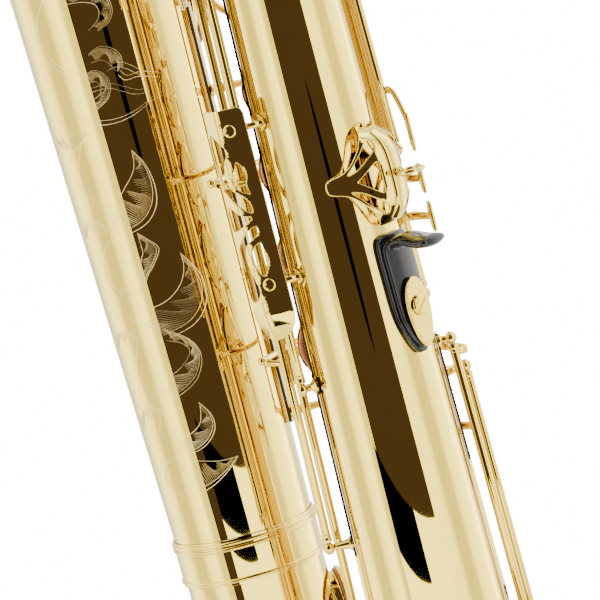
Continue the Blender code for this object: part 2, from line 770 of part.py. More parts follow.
def build_body(sax: Saxophone, cups: list[Cup]) -> None:
    """Body tube with its tone holes and the palm keys' posts."""
    low = BODY_BOTTOM + CLEARANCE / 2.0
    high = BODY_TOP - CLEARANCE / 2.0
    walls, holes = chimneys(cups)
    shapes = [taper(Vector((0, 0, low)), Vector((0, 0, high)), body_radius(low), body_radius(high),
                    WIDE_TUBE_SIDES), *walls]
    for line, levels, angle in ((PALM_D_LINE, (690.0, 792.0), 262.0),
                                (PALM_E_FLAT_LINE, (730.0, 842.0), 272.0),
                                (PALM_F_LINE, (768.0, 888.0), 282.0),
                                (OCTAVE_LINE, (592.0, 702.0), 342.0)):
        for level in levels:
            shapes += post(on_body(angle, -0.2, level), line(level))
    inner = taper(Vector((0, 0, low - 1.0)), Vector((0, 0, high + 1.0)),
                  body_radius(low - 1.0) - TUBE_WALL, body_radius(high + 1.0) - TUBE_WALL, WIDE_TUBE_SIDES)
    sax.add("body_tube", combine(shapes, [inner, *holes]), BRASS)


def hollow_sweep(points: list[Vector], radii: list[float], sides: int, wall: float) -> tuple:
    """Outer solid of a bent tube, and the inner solid that empties it."""
    outer = swept(points, radii, sides)
    first = points[0] + (points[0] - points[1]).normalized() * 2.0
    last = points[-1] + (points[-1] - points[-2]).normalized() * 2.0
    inner_points = [first, *points, last]
    inner_radii = [radii[0] - wall, *[radius - wall for radius in radii], radii[-1] - wall]
    return outer, swept(inner_points, inner_radii, sides)


def build_bottom_bow(sax: Saxophone, cups: list[Cup]) -> None:
    """U-shaped bow that joins body and bell."""
    top = BODY_BOTTOM - CLEARANCE / 2.0
    points = [Vector((0, 0, top))]
    steps = 10
    points += [bow_centre((180.0 - BELL_TILT) * step / steps) for step in range(steps + 1)]
    points += [bell_centre(BELL_JOINT - 45.0), bell_centre(BELL_JOINT - CLEARANCE / 2.0)]
    count = len(points) - 1
    radii = [bow_radius(index / count) for index in range(count + 1)]
    outer, inner = hollow_sweep(points, radii, BOW_SIDES, TUBE_WALL + 0.3)
    walls, holes = chimneys(cups)
    sax.add("bottom_bow", combine([outer, *walls], [inner, *holes]), BRASS)


def build_bell(sax: Saxophone, cups: list[Cup]) -> None:
    """Bell with its flare, rim bead and tone holes."""
    low = BELL_JOINT + CLEARANCE / 2.0
    levels = [BELL_TOP, 742.0, 722.0, 695.0, 655.0, 610.0, FLARE_START, low]
    rim = bell_radius(BELL_TOP)
    rise = [(level - BELL_BASE.z) / BELL_AXIS.z for level in levels]
    outer = [(rim - 2.0, rise[0] + RIM_BEAD), (rim + 1.0, rise[0] + RIM_BEAD), (rim + 2.4, rise[0] + 1.5),
             (rim + 2.4, rise[0] - 0.5), (rim + 1.0, rise[0] - 1.8)]
    outer += [(bell_radius(level), height) for level, height in zip(levels[1:], rise[1:])]
    inner = [(bell_radius(level) - TUBE_WALL - 0.2, height)
             for level, height in zip(reversed(levels[1:]), reversed(rise[1:]))]
    place = frame_at(BELL_BASE, BELL_AXIS)
    bell = turned([*outer, *inner], place, WIDE_TUBE_SIDES)
    walls, holes = chimneys(cups)
    skin = TUBE_WALL + 0.4
    bore = [(0.0, rise[-4] + 2.0), (bell_radius(levels[-4]) - skin, rise[-4] + 2.0)]
    bore += [(bell_radius(level) - skin, height) for level, height in zip(levels[-3:-1], rise[-3:-1])]
    bore += [(bell_radius(low) - skin, rise[-1] + 20.0), (0.0, rise[-1] + 20.0)]
    trimmed = [combine([wall], [turned(bore, place, WIDE_TUBE_SIDES)]) for wall in walls]
    sax.add("bell", combine([bell, *trimmed], holes), BRASS)


def build_upper_tubes(sax: Saxophone) -> None:
    """Top bow, pigtail loop, receiver with its clamp, and the neck."""
    axis_x = -2.0 * TOP_BOW_RADIUS
    start = Vector((0, 0, BODY_TOP + CLEARANCE / 2.0))
    points = [start]
    for step in range(9):
        turn = math.pi * step / 8
        across = -TOP_BOW_RADIUS * (1 - math.cos(turn))
        points.append(Vector((across, 0, TOP_BOW_LEVEL + TOP_BOW_RADIUS * math.sin(turn))))
    points.append(Vector((axis_x, 0, TOP_BOW_END + CLEARANCE / 2.0)))
    first = body_radius(BODY_TOP)
    radii = [first + (TOP_BOW_END_RADIUS - first) * index / (len(points) - 1)
             for index in range(len(points))]
    outer, inner = hollow_sweep(points, radii, NARROW_TUBE_SIDES + 2, TUBE_WALL)
    sax.add("top_bow", combine([outer], [inner]), BRASS)

    points = [Vector((axis_x, 0, TOP_BOW_END - CLEARANCE / 2.0))]
    for step in range(7):
        turn = math.pi * step / 6
        across = -LOOP_RADIUS * (1 - math.cos(turn))
        points.append(Vector((axis_x, across, LOOP_LEVEL - LOOP_RADIUS * math.sin(turn))))
    points.append(Vector((axis_x, -2 * LOOP_RADIUS, RECEIVER_LEVEL - CLEARANCE / 2.0)))
    radii = [TOP_BOW_END_RADIUS + (LOOP_TOP_RADIUS - TOP_BOW_END_RADIUS) * index / (len(points) - 1)
             for index in range(len(points))]
    outer, inner = hollow_sweep(points, radii, NARROW_TUBE_SIDES, TUBE_WALL)
    low = Vector((axis_x, -LOOP_RADIUS, LOOP_LEVEL - LOOP_RADIUS))
    spout = rod(low + Vector((0, 0, -8)), low + Vector((0, 0, -23.5)), 3.5)
    spout_bore = rod(low + Vector((0, 0, -6)), low + Vector((0, 0, -25)), 2.0)
    arm = Vector((6.0, 0, 0))
    seat = low + Vector((0, -13.5, -20.0))
    lugs = []
    for side in (-1.0, 1.0):
        lugs.append(rod(seat + arm * side + Vector((0, 2.5, 7.5)), seat + arm * side, 1.6, 8))
        lugs.append(ball(seat + arm * side, (2.2, 2.2, 2.2), 8))
    sax.add("pigtail_loop", combine([outer, spout, *lugs], [inner, spout_bore]), BRASS)

    hinge = (seat + Vector((-3.4, 0, 0)), seat + Vector((3.4, 0, 0)))
    cover = low + Vector((0, 0, -23.5 - CLEARANCE))
    shapes = [rod(*hinge, 2.0, 8),
              wire([seat, seat + Vector((0, 6.0, -6.5)), cover + Vector((0, 0, -2.2))], 1.3),
              rod(cover, cover + Vector((0, 0, -3.0)), 5.0, 14),
              bar(seat + Vector((0, 0, 0)), seat + Vector((0, -14.0, -2.0)), 7.0, 2.0, Vector((0, 0, 1)))]
    sax.add("water_key", combine(shapes), INNER_BRASS, seat)


def build_neck_group(sax: Saxophone) -> None:
    """Receiver, neck, cork, mouthpiece, ligature, reed and their screws."""
    axis_x = -2.0 * TOP_BOW_RADIUS
    centre = Vector((axis_x, -2 * LOOP_RADIUS, RECEIVER_LEVEL))
    top = RECEIVER_LEVEL + CLEARANCE / 2.0 + RECEIVER_DEPTH
    low = RECEIVER_LEVEL + CLEARANCE / 2.0
    wall = RECEIVER_BORE + 2.2
    profile = [(wall, RECEIVER_DEPTH), (wall + 0.8, RECEIVER_DEPTH - 1.0),
               (wall + 0.8, RECEIVER_DEPTH - 4.0), (wall, RECEIVER_DEPTH - 5.0), (wall, 0.0),
               (RECEIVER_BORE, 0.0), (RECEIVER_BORE, RECEIVER_DEPTH)]
    sleeve = turned(profile, Matrix.Translation((centre.x, centre.y, low)), 24)
    lug_level = top - 8.0
    lug = Vector((centre.x, centre.y - wall - 3.0, lug_level))
    lugs = [bar(lug + Vector((side * 1.4, 0, 0)), lug + Vector((side * 6.0, 0, 0)), 9.0, 9.0,
                Vector((0, 0, 1))) for side in (-1.0, 1.0)]
    lug_root = bar(lug + Vector((-6.0, 2.0, 0)), lug + Vector((6.0, 2.0, 0)), 5.0, 8.0, Vector((0, 0, 1)))
    slit = bar(lug + Vector((0, -8, 3)), lug + Vector((0, 9, 3)), 1.6, 24.0, Vector((0, 0, 1)))
    lyre = Vector((centre.x - wall - 4.0, centre.y, low + 9.0))
    lyre_block = bar(lyre - Vector((0, 0, 8)), lyre + Vector((0, 0, 8)), 10.0, 10.0, Vector((1, 0, 0)))
    screw_line = (lug + Vector((-14, -1.0, 0)), lug + Vector((14, -1.0, 0)))
    cutters = [slit, rod(*screw_line, 1.9)]
    receiver = combine([sleeve, lyre_block, lug_root, *lugs], cutters)
    sax.add("neck_receiver", receiver, BRASS)
    knob = lug + Vector((8.0, -1.0, 0))
    screw = [rod(lug + Vector((-8.0, -1.0, 0)), knob, 1.6, 8),
             rod(knob + Vector((-0.5, 0, 0)), knob + Vector((2.0, 0, 0)), 3.2, 12),
             bar(knob + Vector((1.5, 0, 0)), knob + Vector((10.0, 0, 0)), 9.0, 2.4, Vector((0, 0, 1)))]
    sax.add("neck_screw", combine(screw), BRASS, knob)

    tenon_low = low + 1.0
    route = [Vector((centre.x, centre.y, tenon_low)), Vector((centre.x, centre.y, top)),
             Vector((centre.x, centre.y, top + 8.0))]
    curl = 40.0
    for step in range(1, 9):
        turn = math.radians(84.0) * step / 8
        across = centre.x + curl * (1 - math.cos(turn))
        route.append(Vector((across, centre.y, top + 8.0 + curl * math.sin(turn))))
    end = Vector((NECK_REACH, centre.y, NECK_END_LEVEL))
    last = route[-1]
    for step in range(1, 7):
        share = step / 6
        point = last.lerp(end, share)
        point.z += 16.0 * share * (1.0 - share)
        route.append(point)
    count = len(route) - 1
    radii = [NECK_RADIUS + (NECK_END_RADIUS - NECK_RADIUS) * (index / count) for index in range(count + 1)]
    radii[1] = NECK_RADIUS
    outer, inner = hollow_sweep(route, radii, NARROW_TUBE_SIDES, NECK_WALL)
    collar = turned([(RECEIVER_BORE + 3.0, 5.0), (RECEIVER_BORE + 3.0, CLEARANCE),
                     (NECK_RADIUS - 1.2, CLEARANCE), (NECK_RADIUS - 1.2, 5.0)],
                    Matrix.Translation((centre.x, centre.y, top)), 24)
    pip = route[9]
    pip_up = Vector((0, 0, 1))
    cradle = [rod(pip + pip_up * 6.0, pip + pip_up * 17.0, 2.6, 8)]
    hinge_level = route[5]
    for side in (-1.0, 1.0):
        out = Vector((0, side * 17.0, 0))
        cradle.append(rod(hinge_level + Vector((0, side * 9.0, 0)), hinge_level + out, 1.8, 8))
    neck = combine([outer, collar, *cradle], [inner, rod(pip, pip + pip_up * 19.0, 1.4, 8)])
    sax.add("neck", neck, BRASS, centre)

    hinge_out = 17.0 + CLEARANCE
    ring = []
    for side in (-1.0, 1.0):
        anchor = hinge_level + Vector((0, side * (hinge_out + 2.4), 0))
        ring.append(rod(hinge_level + Vector((0, side * hinge_out, 0)),
                        hinge_level + Vector((0, side * (hinge_out + 4.0), 0)), 3.0, 10))
        ring.append(wire([anchor, anchor + Vector((-22.0, 0, -4.0)),
                          anchor + Vector((-36.0, -side * 14.0, -14.0)),
                          hinge_level + Vector((-41.0, 0, -17.0))], 1.6))
        ring.append(wire([anchor, hinge_level + Vector((14.0, side * 17.5, 14.0)),
                          pip + Vector((0, side * 9.0, 20.5)), pip + Vector((0, -side * 1.0, 20.5))], 1.6))
    ring.append(rod(pip + pip_up * (17.0 + CLEARANCE), pip + pip_up * 21.5, 4.2, 12))
    sax.add("neck_octave_key", combine(ring), INNER_BRASS, hinge_level)

    aim = (route[-1] - route[-2]).normalized()
    build_mouthpiece(sax, route[-1] - aim * (CORK_LENGTH - 2.0), route[-1], aim)


def build_mouthpiece(sax: Saxophone, cork_start: Vector, neck_end: Vector, aim: Vector) -> None:
    """Cork, mouthpiece, ligature and reed at the end of the neck."""
    place = frame_at(cork_start, aim)
    bore = 9.2
    cork_length = (neck_end - cork_start).length
    profile = [(CORK_RADIUS + 0.4, cork_length), (CORK_RADIUS + 1.6, 0.0), (bore + 0.25, 0.0),
               (bore - 0.75, cork_length)]
    sax.add("neck_cork", turned(profile, place, 20), CORK, cork_start)

    seat = neck_end - aim * 22.0
    place = frame_at(seat, aim)
    radius = MOUTHPIECE_RADIUS
    length = MOUTHPIECE_LENGTH
    profile = [(5.0, length), (7.0, length - 12.0), (radius - 2.6, length - 42.0), (radius - 1.2, 12.0),
               (radius + 0.6, 10.0), (radius + 0.6, 1.0), (radius, 0.0), (CORK_RADIUS + 1.55, 0.0),
               (CORK_RADIUS + 0.9, 24.0), (6.2, 28.0), (4.0, length)]
    down = Vector((0, 0, -1)) - aim * aim.dot(Vector((0, 0, -1)))
    down.normalize()
    table = seat + aim * (length - 30.0) + down * 16.5
    facing = bar(table - aim * 36.0, table + aim * 40.0, 40.0, 20.0, down)
    beak_start = seat + aim * (length - 44.0) - down * 11.4
    beak_end = seat + aim * (length + 2.0) + down * 3.0
    beak_up = (beak_end - beak_start).cross(Vector((0, 1, 0))).normalized()
    if beak_up.dot(down) > 0.0:
        beak_up = -beak_up
    beak = bar(beak_start + beak_up * 10.0, beak_end + beak_up * 10.0, 40.0, 20.0, beak_up)
    sax.add("mouthpiece", combine([turned(profile, place, 24)], [facing, beak]), EBONITE, seat)

    reed_up = table - down * (10.0 - CLEARANCE)
    reed = bar(reed_up - aim * 34.0 + down * 1.5, reed_up + aim * 29.0 + down * 1.5, 13.0, 2.4, down)
    sax.add("reed", reed, CANE, reed_up)

    grip = seat + aim * 36.0
    profile = [(radius + 1.9, 26.0), (radius + 1.9, 0.0), (radius + 1.0, 0.0), (radius + 1.0, 26.0)]
    band = turned(profile, frame_at(grip, aim), 24)
    screws = []
    for offset in (6.0, 20.0):
        spot = grip + aim * offset + down * (radius + 3.4)
        screws.append(rod(spot - Vector((0, 7.0, 0)), spot + Vector((0, 7.0, 0)), 2.2, 10))
        screws.append(rod(spot + Vector((0, 6.5, 0)), spot + Vector((0, 13.0, 0)), 4.2, 12))
    sax.add("ligature", combine([band, *screws]), BRASS, grip)


# ---------------------------------------------------------------- rings, saddle, hook and guards

def build_rings(sax: Saxophone) -> None:
    """Sleeves over the joints of body, bow and bell."""
    start = BODY_BOTTOM - 7.0
    inner = body_radius(start) + CLEARANCE + 0.7
    profile = [(inner + 0.8, 13.0), (inner + 1.6, 11.0), (inner + 0.8, 9.0), (inner + 0.8, 4.0),
               (inner + 1.6, 2.0), (inner + 0.8, 0.0), (inner, 0.0), (inner, 13.0)]
    sax.add("body_bow_ring", turned(profile, Matrix.Translation((0, 0, start)), WIDE_TUBE_SIDES), BRASS)
    start = BELL_JOINT - 14.5
    inner = bell_radius(BELL_JOINT + 14.0) + CLEARANCE + 0.1
    beads = []
    for bead in (25.8, 22.6, 2.8):
        beads += [(inner + 0.8, bead + 1.5), (inner + 1.8, bead), (inner + 0.8, bead - 1.5)]
    profile = [(inner + 0.8, 28.5), *beads, (inner + 0.8, 0.0), (inner, 0.0), (inner, 28.5)]
    sax.add("bow_bell_ring", turned(profile, frame_at(bell_centre(start), BELL_AXIS), WIDE_TUBE_SIDES), BRASS)


def arch(points: list[Vector], widths: list[float], across: Vector) -> bpy.types.Object:
    """Bent strip whose width changes along its way."""
    rows = [[point - across * width / 2.0, point + across * width / 2.0]
            for point, width in zip(points, widths)]
    return sheet(rows, SADDLE_THICKNESS)


def build_saddle(sax: Saxophone) -> None:
    """Four-legged saddle on the back of the body and the strap ring on its crest."""
    lift = CLEARANCE
    reach = SADDLE_CREST
    upright = []
    for level, out in ((-1.0, None), (-0.86, 0.42), (-0.62, 0.86), (-0.2, 1.0), (0.2, 1.0), (0.62, 0.86),
                       (0.86, 0.42), (1.0, None)):
        height = SADDLE_LEVEL + SADDLE_HALF_HEIGHT * level
        base = body_radius(height) + lift
        upright.append(Vector((base if out is None else base + (reach - base) * out, 0, height)))
    spine = arch(upright, [9.0, 10.0, 20.0, 26.0, 26.0, 20.0, 10.0, 9.0], Vector((0, 1, 0)))
    cross = []
    base = body_radius(SADDLE_LEVEL)
    for share in (-1.0, -0.82, -0.5, -0.18, 0.18, 0.5, 0.82, 1.0):
        height = {1.0: lift, 0.82: lift + 2.0, 0.5: 11.0, 0.18: SADDLE_CREST - base}[abs(share)]
        cross.append(polar(SADDLE_SPAN * share, base + height, SADDLE_LEVEL))
    wings = arch(cross, [9.0, 11.0, 24.0, 46.0, 46.0, 24.0, 11.0, 9.0], Vector((0, 0, -1)))
    eye = STRAP_RING_CENTRE - Vector((RING_MAJOR, 0, 0))
    eye_half = RING_MINOR + CLEARANCE + 1.5
    lug = bar(Vector((reach + 0.7, 0, eye.z)), eye + Vector((eye_half, 0, 0)), 3.6, 2.0 * eye_half,
              Vector((0, 0, 1)))
    hole = rod(eye - Vector((0, 6, 0)), eye + Vector((0, 6, 0)), RING_MINOR + CLEARANCE + 0.3, 12)
    sax.add("strap_saddle", combine([spine, wings, lug], [hole]), BRASS)
    sax.add("strap_ring", hoop(Matrix.Translation(STRAP_RING_CENTRE), RING_MAJOR, RING_MINOR), BRASS,
            STRAP_RING_CENTRE)


def build_thumb_hook(sax: Saxophone) -> None:
    """Right thumb hook, the plate that clamps it and its screw."""
    middle = (HOOK_BOTTOM + HOOK_TOP) / 2.0
    shoulder = HOOK_TOP - 12.0
    rows = []
    for level, half in ((HOOK_BOTTOM, 5.0), (HOOK_BOTTOM + 7.0, 12.0), (HOOK_BOTTOM + 22.0, 18.0),
                        (middle, HOOK_HALF_ANGLE), (shoulder, HOOK_HALF_ANGLE),
                        (HOOK_TOP - 3.0, 17.0), (HOOK_TOP, 11.0)):
        rows.append([on_body(half * side, CLEARANCE, level) for side in (-1.0, -0.6, -0.2, 0.2, 0.6, 1.0)])
    base = sheet(rows, HOOK_THICKNESS)
    start = body_radius(HOOK_TOP) + 1.0
    tongue = ball(Vector(((start + HOOK_REACH) / 2.0, 0, HOOK_TOP - 7.0)),
                  ((HOOK_REACH - start) / 2.0, 11.5, 4.6), 12)
    surface = body_radius(HOOK_SCREW_LEVEL) + CLEARANCE + HOOK_THICKNESS
    hole = rod(Vector((surface - 12.0, 0, HOOK_SCREW_LEVEL)),
               Vector((surface + 5.0, 0, HOOK_SCREW_LEVEL)), 2.3)
    sax.add("thumb_hook", combine([base, tongue], [hole]), EBONITE, Vector((surface, 0, middle)))

    plate_in = surface + 2.2 * CLEARANCE
    egg = []
    for step in range(20):
        turn = math.tau * step / 20
        up = math.sin(turn)
        egg.append((9.5 * math.cos(turn) * (1.0 + 0.16 * up), 21.0 * up))
    plate = outline_plate([egg, oval((0.0, 4.0), 2.3, 2.3, 10)], 1.5)
    plate.data.transform(Matrix.Translation((plate_in + 0.75, 0, HOOK_SCREW_LEVEL - 4.0))
                         @ Matrix(((0, 0, 1, 0), (1, 0, 0, 0), (0, 1, 0, 0), (0, 0, 0, 1))))
    sax.add("thumb_hook_plate", plate, BRASS, Vector((plate_in, 0, HOOK_SCREW_LEVEL)))
    head = plate_in + 1.5 + CLEARANCE
    spot = Vector((head, 0, HOOK_SCREW_LEVEL))
    out = Vector((1, 0, 0))
    slot = bar(spot + out * 2.0 - Vector((0, 4.2, 4.2)), spot + out * 2.0 + Vector((0, 4.2, 4.2)),
               1.3, 1.8, out)
    shank_end = Vector((body_radius(HOOK_SCREW_LEVEL) + 2.0 * CLEARANCE, 0, HOOK_SCREW_LEVEL))
    screw = combine([rod(spot, spot + out * 2.0, 5.0, 18), rod(shank_end, spot + out, 1.9, 10)], [slot])
    sax.add("thumb_hook_screw", screw, BRASS, spot)


def guard_place() -> Matrix:
    """Frame on the guard's crease: X across the outer facet, Y up, Z out of the outer facet."""
    out = polar(GUARD_OUTER_FACING, 1.0, 0.0)
    across = polar(GUARD_OUTER_FACING + 90.0, 1.0, 0.0)
    turn = Matrix((across, Vector((0, 0, 1)), out)).transposed().to_4x4()
    return Matrix.Translation(GUARD_CREASE) @ turn


def build_leg_guard(sax: Saxophone) -> None:
    """Creased guard plate with leaf windows, its two brackets and screws."""
    left, right = -GUARD_INNER_WIDTH, GUARD_OUTER_WIDTH
    tip = GUARD_BOTTOM
    shoulder = tip + 18.0
    rim = [(left + 4.0, GUARD_TOP), (left + 1.2, GUARD_TOP - 1.2), (left, GUARD_TOP - 4.0), (left, shoulder)]
    for step in range(1, 9):
        turn = math.pi * step / 9
        half = (right - left) / 2.0
        rim.append(((left + right) / 2.0 - half * math.cos(turn),
                    shoulder - (shoulder - tip) * math.sin(turn)))
    rim += [(right, shoulder), (right, GUARD_TOP - 4.0), (right - 1.2, GUARD_TOP - 1.2),
            (right - 4.0, GUARD_TOP)]
    windows = [oval((8.0, 459.0), 4.0, 11.0), oval((7.0, 417.0), 4.0, 11.0),
               oval((-5.5, 466.0), 4.2, 18.0), oval((-5.5, 410.0), 4.2, 18.0)]
    windows += [oval((GUARD_SCREW_OFFSET, level), 1.9, 1.9, 10) for level in GUARD_SCREW_LEVELS]
    plate = outline_plate([rim, *windows], GUARD_THICKNESS)
    fold = math.radians(GUARD_OUTER_FACING - GUARD_INNER_FACING)
    shape = bmesh.new()
    shape.from_mesh(plate.data)
    bmesh.ops.bisect_plane(shape, geom=shape.verts[:] + shape.edges[:] + shape.faces[:],
                           plane_co=(0, 0, 0), plane_no=(1, 0, 0))
    folded = [vert for vert in shape.verts if vert.co.x < -0.001]
    bmesh.ops.rotate(shape, verts=folded, cent=(0, 0, 0), matrix=Matrix.Rotation(-fold, 3, "Y"))
    bpy.data.objects.remove(plate)
    guard = from_bmesh(shape)
    place = guard_place()
    guard.data.transform(place)
    sax.add("leg_guard", guard, BRASS)

    out = polar(GUARD_OUTER_FACING, 1.0, 0.0)
    for name, level in zip(("upper", "lower"), GUARD_SCREW_LEVELS):
        spot = place @ Vector((GUARD_SCREW_OFFSET, level, 0.0))
        back = spot - out * (GUARD_THICKNESS / 2.0 + CLEARANCE)
        foot = on_body(251.0, CLEARANCE + 1.0, level)
        shapes = [rod(back - out * 4.4, back, 4.2, 12),
                  wire([back - out * 3.2, on_body(251.0, 5.0, level), foot], 1.9),
                  patch(on_body, (244.0, 258.0), (level - 6.0, level + 6.0), 1.5)]
        bracket = combine(shapes, [rod(back - out * 3.0, back + out, 1.8)])
        sax.add(f"leg_guard_bracket_{name}", bracket, BRASS)
        face = spot + out * (GUARD_THICKNESS / 2.0 + CLEARANCE)
        across = polar(GUARD_OUTER_FACING + 90.0, 3.6, 0.0)
        top = face + out * 1.9
        slots = [bar(top - way, top + way, 1.0, 1.4, out) for way in (across, Vector((0, 0, 3.6)))]
        screw = combine([rod(face, top, 3.8, 16), rod(face - out * 3.6, face + out, 1.5)], slots)
        sax.add(f"leg_guard_screw_{name}", screw, BRASS, face)


def build_thumb_rest_and_octave(sax: Saxophone) -> None:
    """Left thumb's rest and the octave lever beside it."""
    level = 612.0
    profile = [(0.0, 4.5), (9.0, 4.0), (10.5, 2.5), (10.5, 1.6), (0.0, 1.6)]
    start = on_body(8.0, 0.0, level)
    normal = polar(8.0, 1.0, 0.0)
    pad = turned(profile, frame_at(start, normal), 20)
    stem = rod(start + normal * CLEARANCE, start + normal * 2.4, 6.0, 14)
    sax.add("thumb_rest", combine([stem, pad]), EBONITE, start)
    build_key(sax, octave_key())


def build_bell_fittings(sax: Saxophone) -> None:
    """Brace between body and bell, and the rail that guards the bell keys."""
    level = 648.0
    body_foot = on_body(198.0, CLEARANCE + 1.0, level)
    bell_foot = on_bell(-14.0, FLARE_LIFT + 1.0, level)
    middle = body_foot.lerp(bell_foot, 0.5)
    across = (bell_foot - body_foot).normalized()
    facing = across.cross(Vector((0, 0, 1))).normalized()
    shapes = [hoop(frame_at(middle, facing), 13.0, 2.6, 16),
              rod(body_foot, middle - across * 13.0, 2.8), rod(middle + across * 13.0, bell_foot, 2.8),
              patch(on_body, (190.0, 206.0), (level - 12.0, level + 12.0), 1.6),
              patch(on_bell, (-22.0, -6.0), (level - 12.0, level + 12.0), 2.0, FLARE_LIFT)]
    sax.add("bell_brace", combine(shapes), BRASS)

    angle = 97.0
    height = 27.0
    stops = (288.0, 386.0, 499.0, 604.0)
    rail = [on_bell(angle, height, stop) for stop in stops]
    shapes = [wire(rail, 2.4)]
    for stop in stops:
        shapes.append(rod(on_bell(angle, 1.0, stop), on_bell(angle, height, stop), 2.2, 6))
        shapes.append(patch(on_bell, (angle - 7.0, angle + 7.0), (stop - 5.0, stop + 5.0), 1.5))
    sax.add("bell_key_guard", combine(shapes), BRASS)


def main() -> None:
    """Builds the saxophone piece by piece."""
    for obj in list(bpy.data.objects):
        bpy.data.objects.remove(obj)
    sax = Saxophone()
    body_keys = [*stack_keys(), *palm_keys()]
    rights = right_keys()
    lefts = left_keys()
    bells = bell_keys()
    on_tube = [key.cup for key in body_keys] + [key.cup for key in rights[:4]] + [lefts[3].cup]
    on_tube.append(octave_key().cup)
    build_body(sax, on_tube)
    build_bottom_bow(sax, [rights[4].cup, lefts[2].cup])
    build_bell(sax, [key.cup for key in bells])
    build_upper_tubes(sax)
    build_rings(sax)
    build_neck_group(sax)
    build_saddle(sax)
    build_thumb_hook(sax)
    build_leg_guard(sax)
    build_thumb_rest_and_octave(sax)
    build_bell_fittings(sax)
    add_ribs(sax)
    for key in (*body_keys, *rights, *lefts, *bells):
        build_key(sax, key)


main()
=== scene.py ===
"""Baritone saxophone: the finished looks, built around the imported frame.

Lengths are millimetres and angles are degrees, as on a maker's drawing; MM turns them into metres.
Every place is given from the body tube's axis, with the bottom of the bow at z = 0, and is moved to the
frame's origin, the strap ring, when a piece is finished. Angles start at the player's side (+X) and turn
towards +Y. The bell stands on the -X side.
"""

from __future__ import annotations

import json
import logging
import math
from collections.abc import Callable
from dataclasses import dataclass, field
from enum import Enum

import bmesh
import bpy
from mathutils import Matrix, Vector

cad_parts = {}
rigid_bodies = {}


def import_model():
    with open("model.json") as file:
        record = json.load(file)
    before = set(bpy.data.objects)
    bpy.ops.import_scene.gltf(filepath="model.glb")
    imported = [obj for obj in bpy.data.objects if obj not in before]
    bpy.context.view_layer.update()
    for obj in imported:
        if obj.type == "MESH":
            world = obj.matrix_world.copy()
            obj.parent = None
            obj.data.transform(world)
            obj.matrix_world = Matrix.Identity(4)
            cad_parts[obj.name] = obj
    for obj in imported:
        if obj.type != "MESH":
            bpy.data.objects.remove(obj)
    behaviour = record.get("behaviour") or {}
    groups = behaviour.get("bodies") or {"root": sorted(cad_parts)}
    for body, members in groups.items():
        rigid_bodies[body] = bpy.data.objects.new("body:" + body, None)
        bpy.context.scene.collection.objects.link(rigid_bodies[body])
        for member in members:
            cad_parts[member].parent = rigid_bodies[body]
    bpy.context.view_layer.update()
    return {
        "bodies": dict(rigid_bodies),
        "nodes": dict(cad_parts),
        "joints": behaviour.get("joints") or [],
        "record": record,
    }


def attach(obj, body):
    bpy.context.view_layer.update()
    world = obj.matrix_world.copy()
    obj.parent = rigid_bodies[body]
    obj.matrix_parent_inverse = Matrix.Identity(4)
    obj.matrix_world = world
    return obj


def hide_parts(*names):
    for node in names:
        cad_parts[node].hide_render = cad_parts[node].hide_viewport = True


LOG = logging.getLogger("saxophone")
MM = 0.001
UP = Vector((0.0, 0.0, 1.0))
RING_CENTRE = Vector((63.5, 0.0, 443.0))
INSTRUMENT = "instrument"
Bend = Callable[[float, float, float], Vector]
Points = list[tuple[float, float]]


# ---------------------------------------------------------------- the instrument's own measures

@dataclass(frozen=True)
class Measures:
    """Driving sizes of the tubes and the keywork."""

    body_bottom: float = 122.0
    body_top: float = 960.0
    body_radius: float = 40.75
    body_taper: float = 0.0189
    wall: float = 1.1
    bow_level: float = 114.0
    bow_radius: float = 72.0
    bell_joint: float = 226.0
    bell_radius: float = 43.2
    bell_taper: float = 0.0225
    bell_tilt: float = 1.0
    bell_top: float = 757.0
    flare_start: float = 563.0
    flare_spread: float = 35.0
    chimney: float = 3.0
    tube: float = 2.9
    ball: float = 3.6
    gap: float = 0.3


SIZE = Measures()
TILT = math.radians(SIZE.bell_tilt)
BELL_BASE = Vector((-SIZE.bow_radius * (1.0 + math.cos(TILT)), 0.0,
                    SIZE.bow_level - SIZE.bow_radius * math.sin(TILT)))
BELL_AXIS = Vector((-math.sin(TILT), 0.0, math.cos(TILT)))
BELL_SIDE = Vector((math.cos(TILT), 0.0, math.sin(TILT)))


def polar(angle: float, reach: float, level: float) -> Vector:
    """Point at an angle and a distance from the body tube's axis."""
    turn = math.radians(angle)
    return Vector((reach * math.cos(turn), reach * math.sin(turn), level))


def body_radius(level: float) -> float:
    """Outer radius of the body tube at a level."""
    return SIZE.body_radius - SIZE.body_taper * (level - SIZE.body_bottom)


def on_body(angle: float, height: float, level: float) -> Vector:
    """Point at a height above the body tube's surface."""
    return polar(angle, body_radius(level) + height, level)


def bell_radius(level: float) -> float:
    """Outer radius of the bell at a level.

    Args:
        level: height above the bottom of the bow.

    Returns:
        The radius.
    """
    straight = SIZE.bell_radius + SIZE.bell_taper * (level - SIZE.bell_joint)
    rise = max(0.0, level - SIZE.flare_start) / (SIZE.bell_top - SIZE.flare_start)
    return straight + SIZE.flare_spread * rise ** 3


def bell_centre(level: float) -> Vector:
    """Point on the bell's axis at a level."""
    return BELL_BASE + BELL_AXIS * ((level - BELL_BASE.z) / BELL_AXIS.z)


def bell_out(angle: float) -> Vector:
    """Direction that points away from the bell's axis at an angle."""
    turn = math.radians(angle)
    return BELL_SIDE * math.cos(turn) + Vector((0.0, math.sin(turn), 0.0))


def on_bell(angle: float, height: float, level: float) -> Vector:
    """Point at a height above the bell's surface."""
    return bell_centre(level) + bell_out(angle) * (bell_radius(level) + height)


def bow_tube(share: float) -> float:
    """Outer radius of the bottom bow, by the share of the way from body to bell."""
    return SIZE.body_radius + (SIZE.bell_radius - SIZE.body_radius) * share


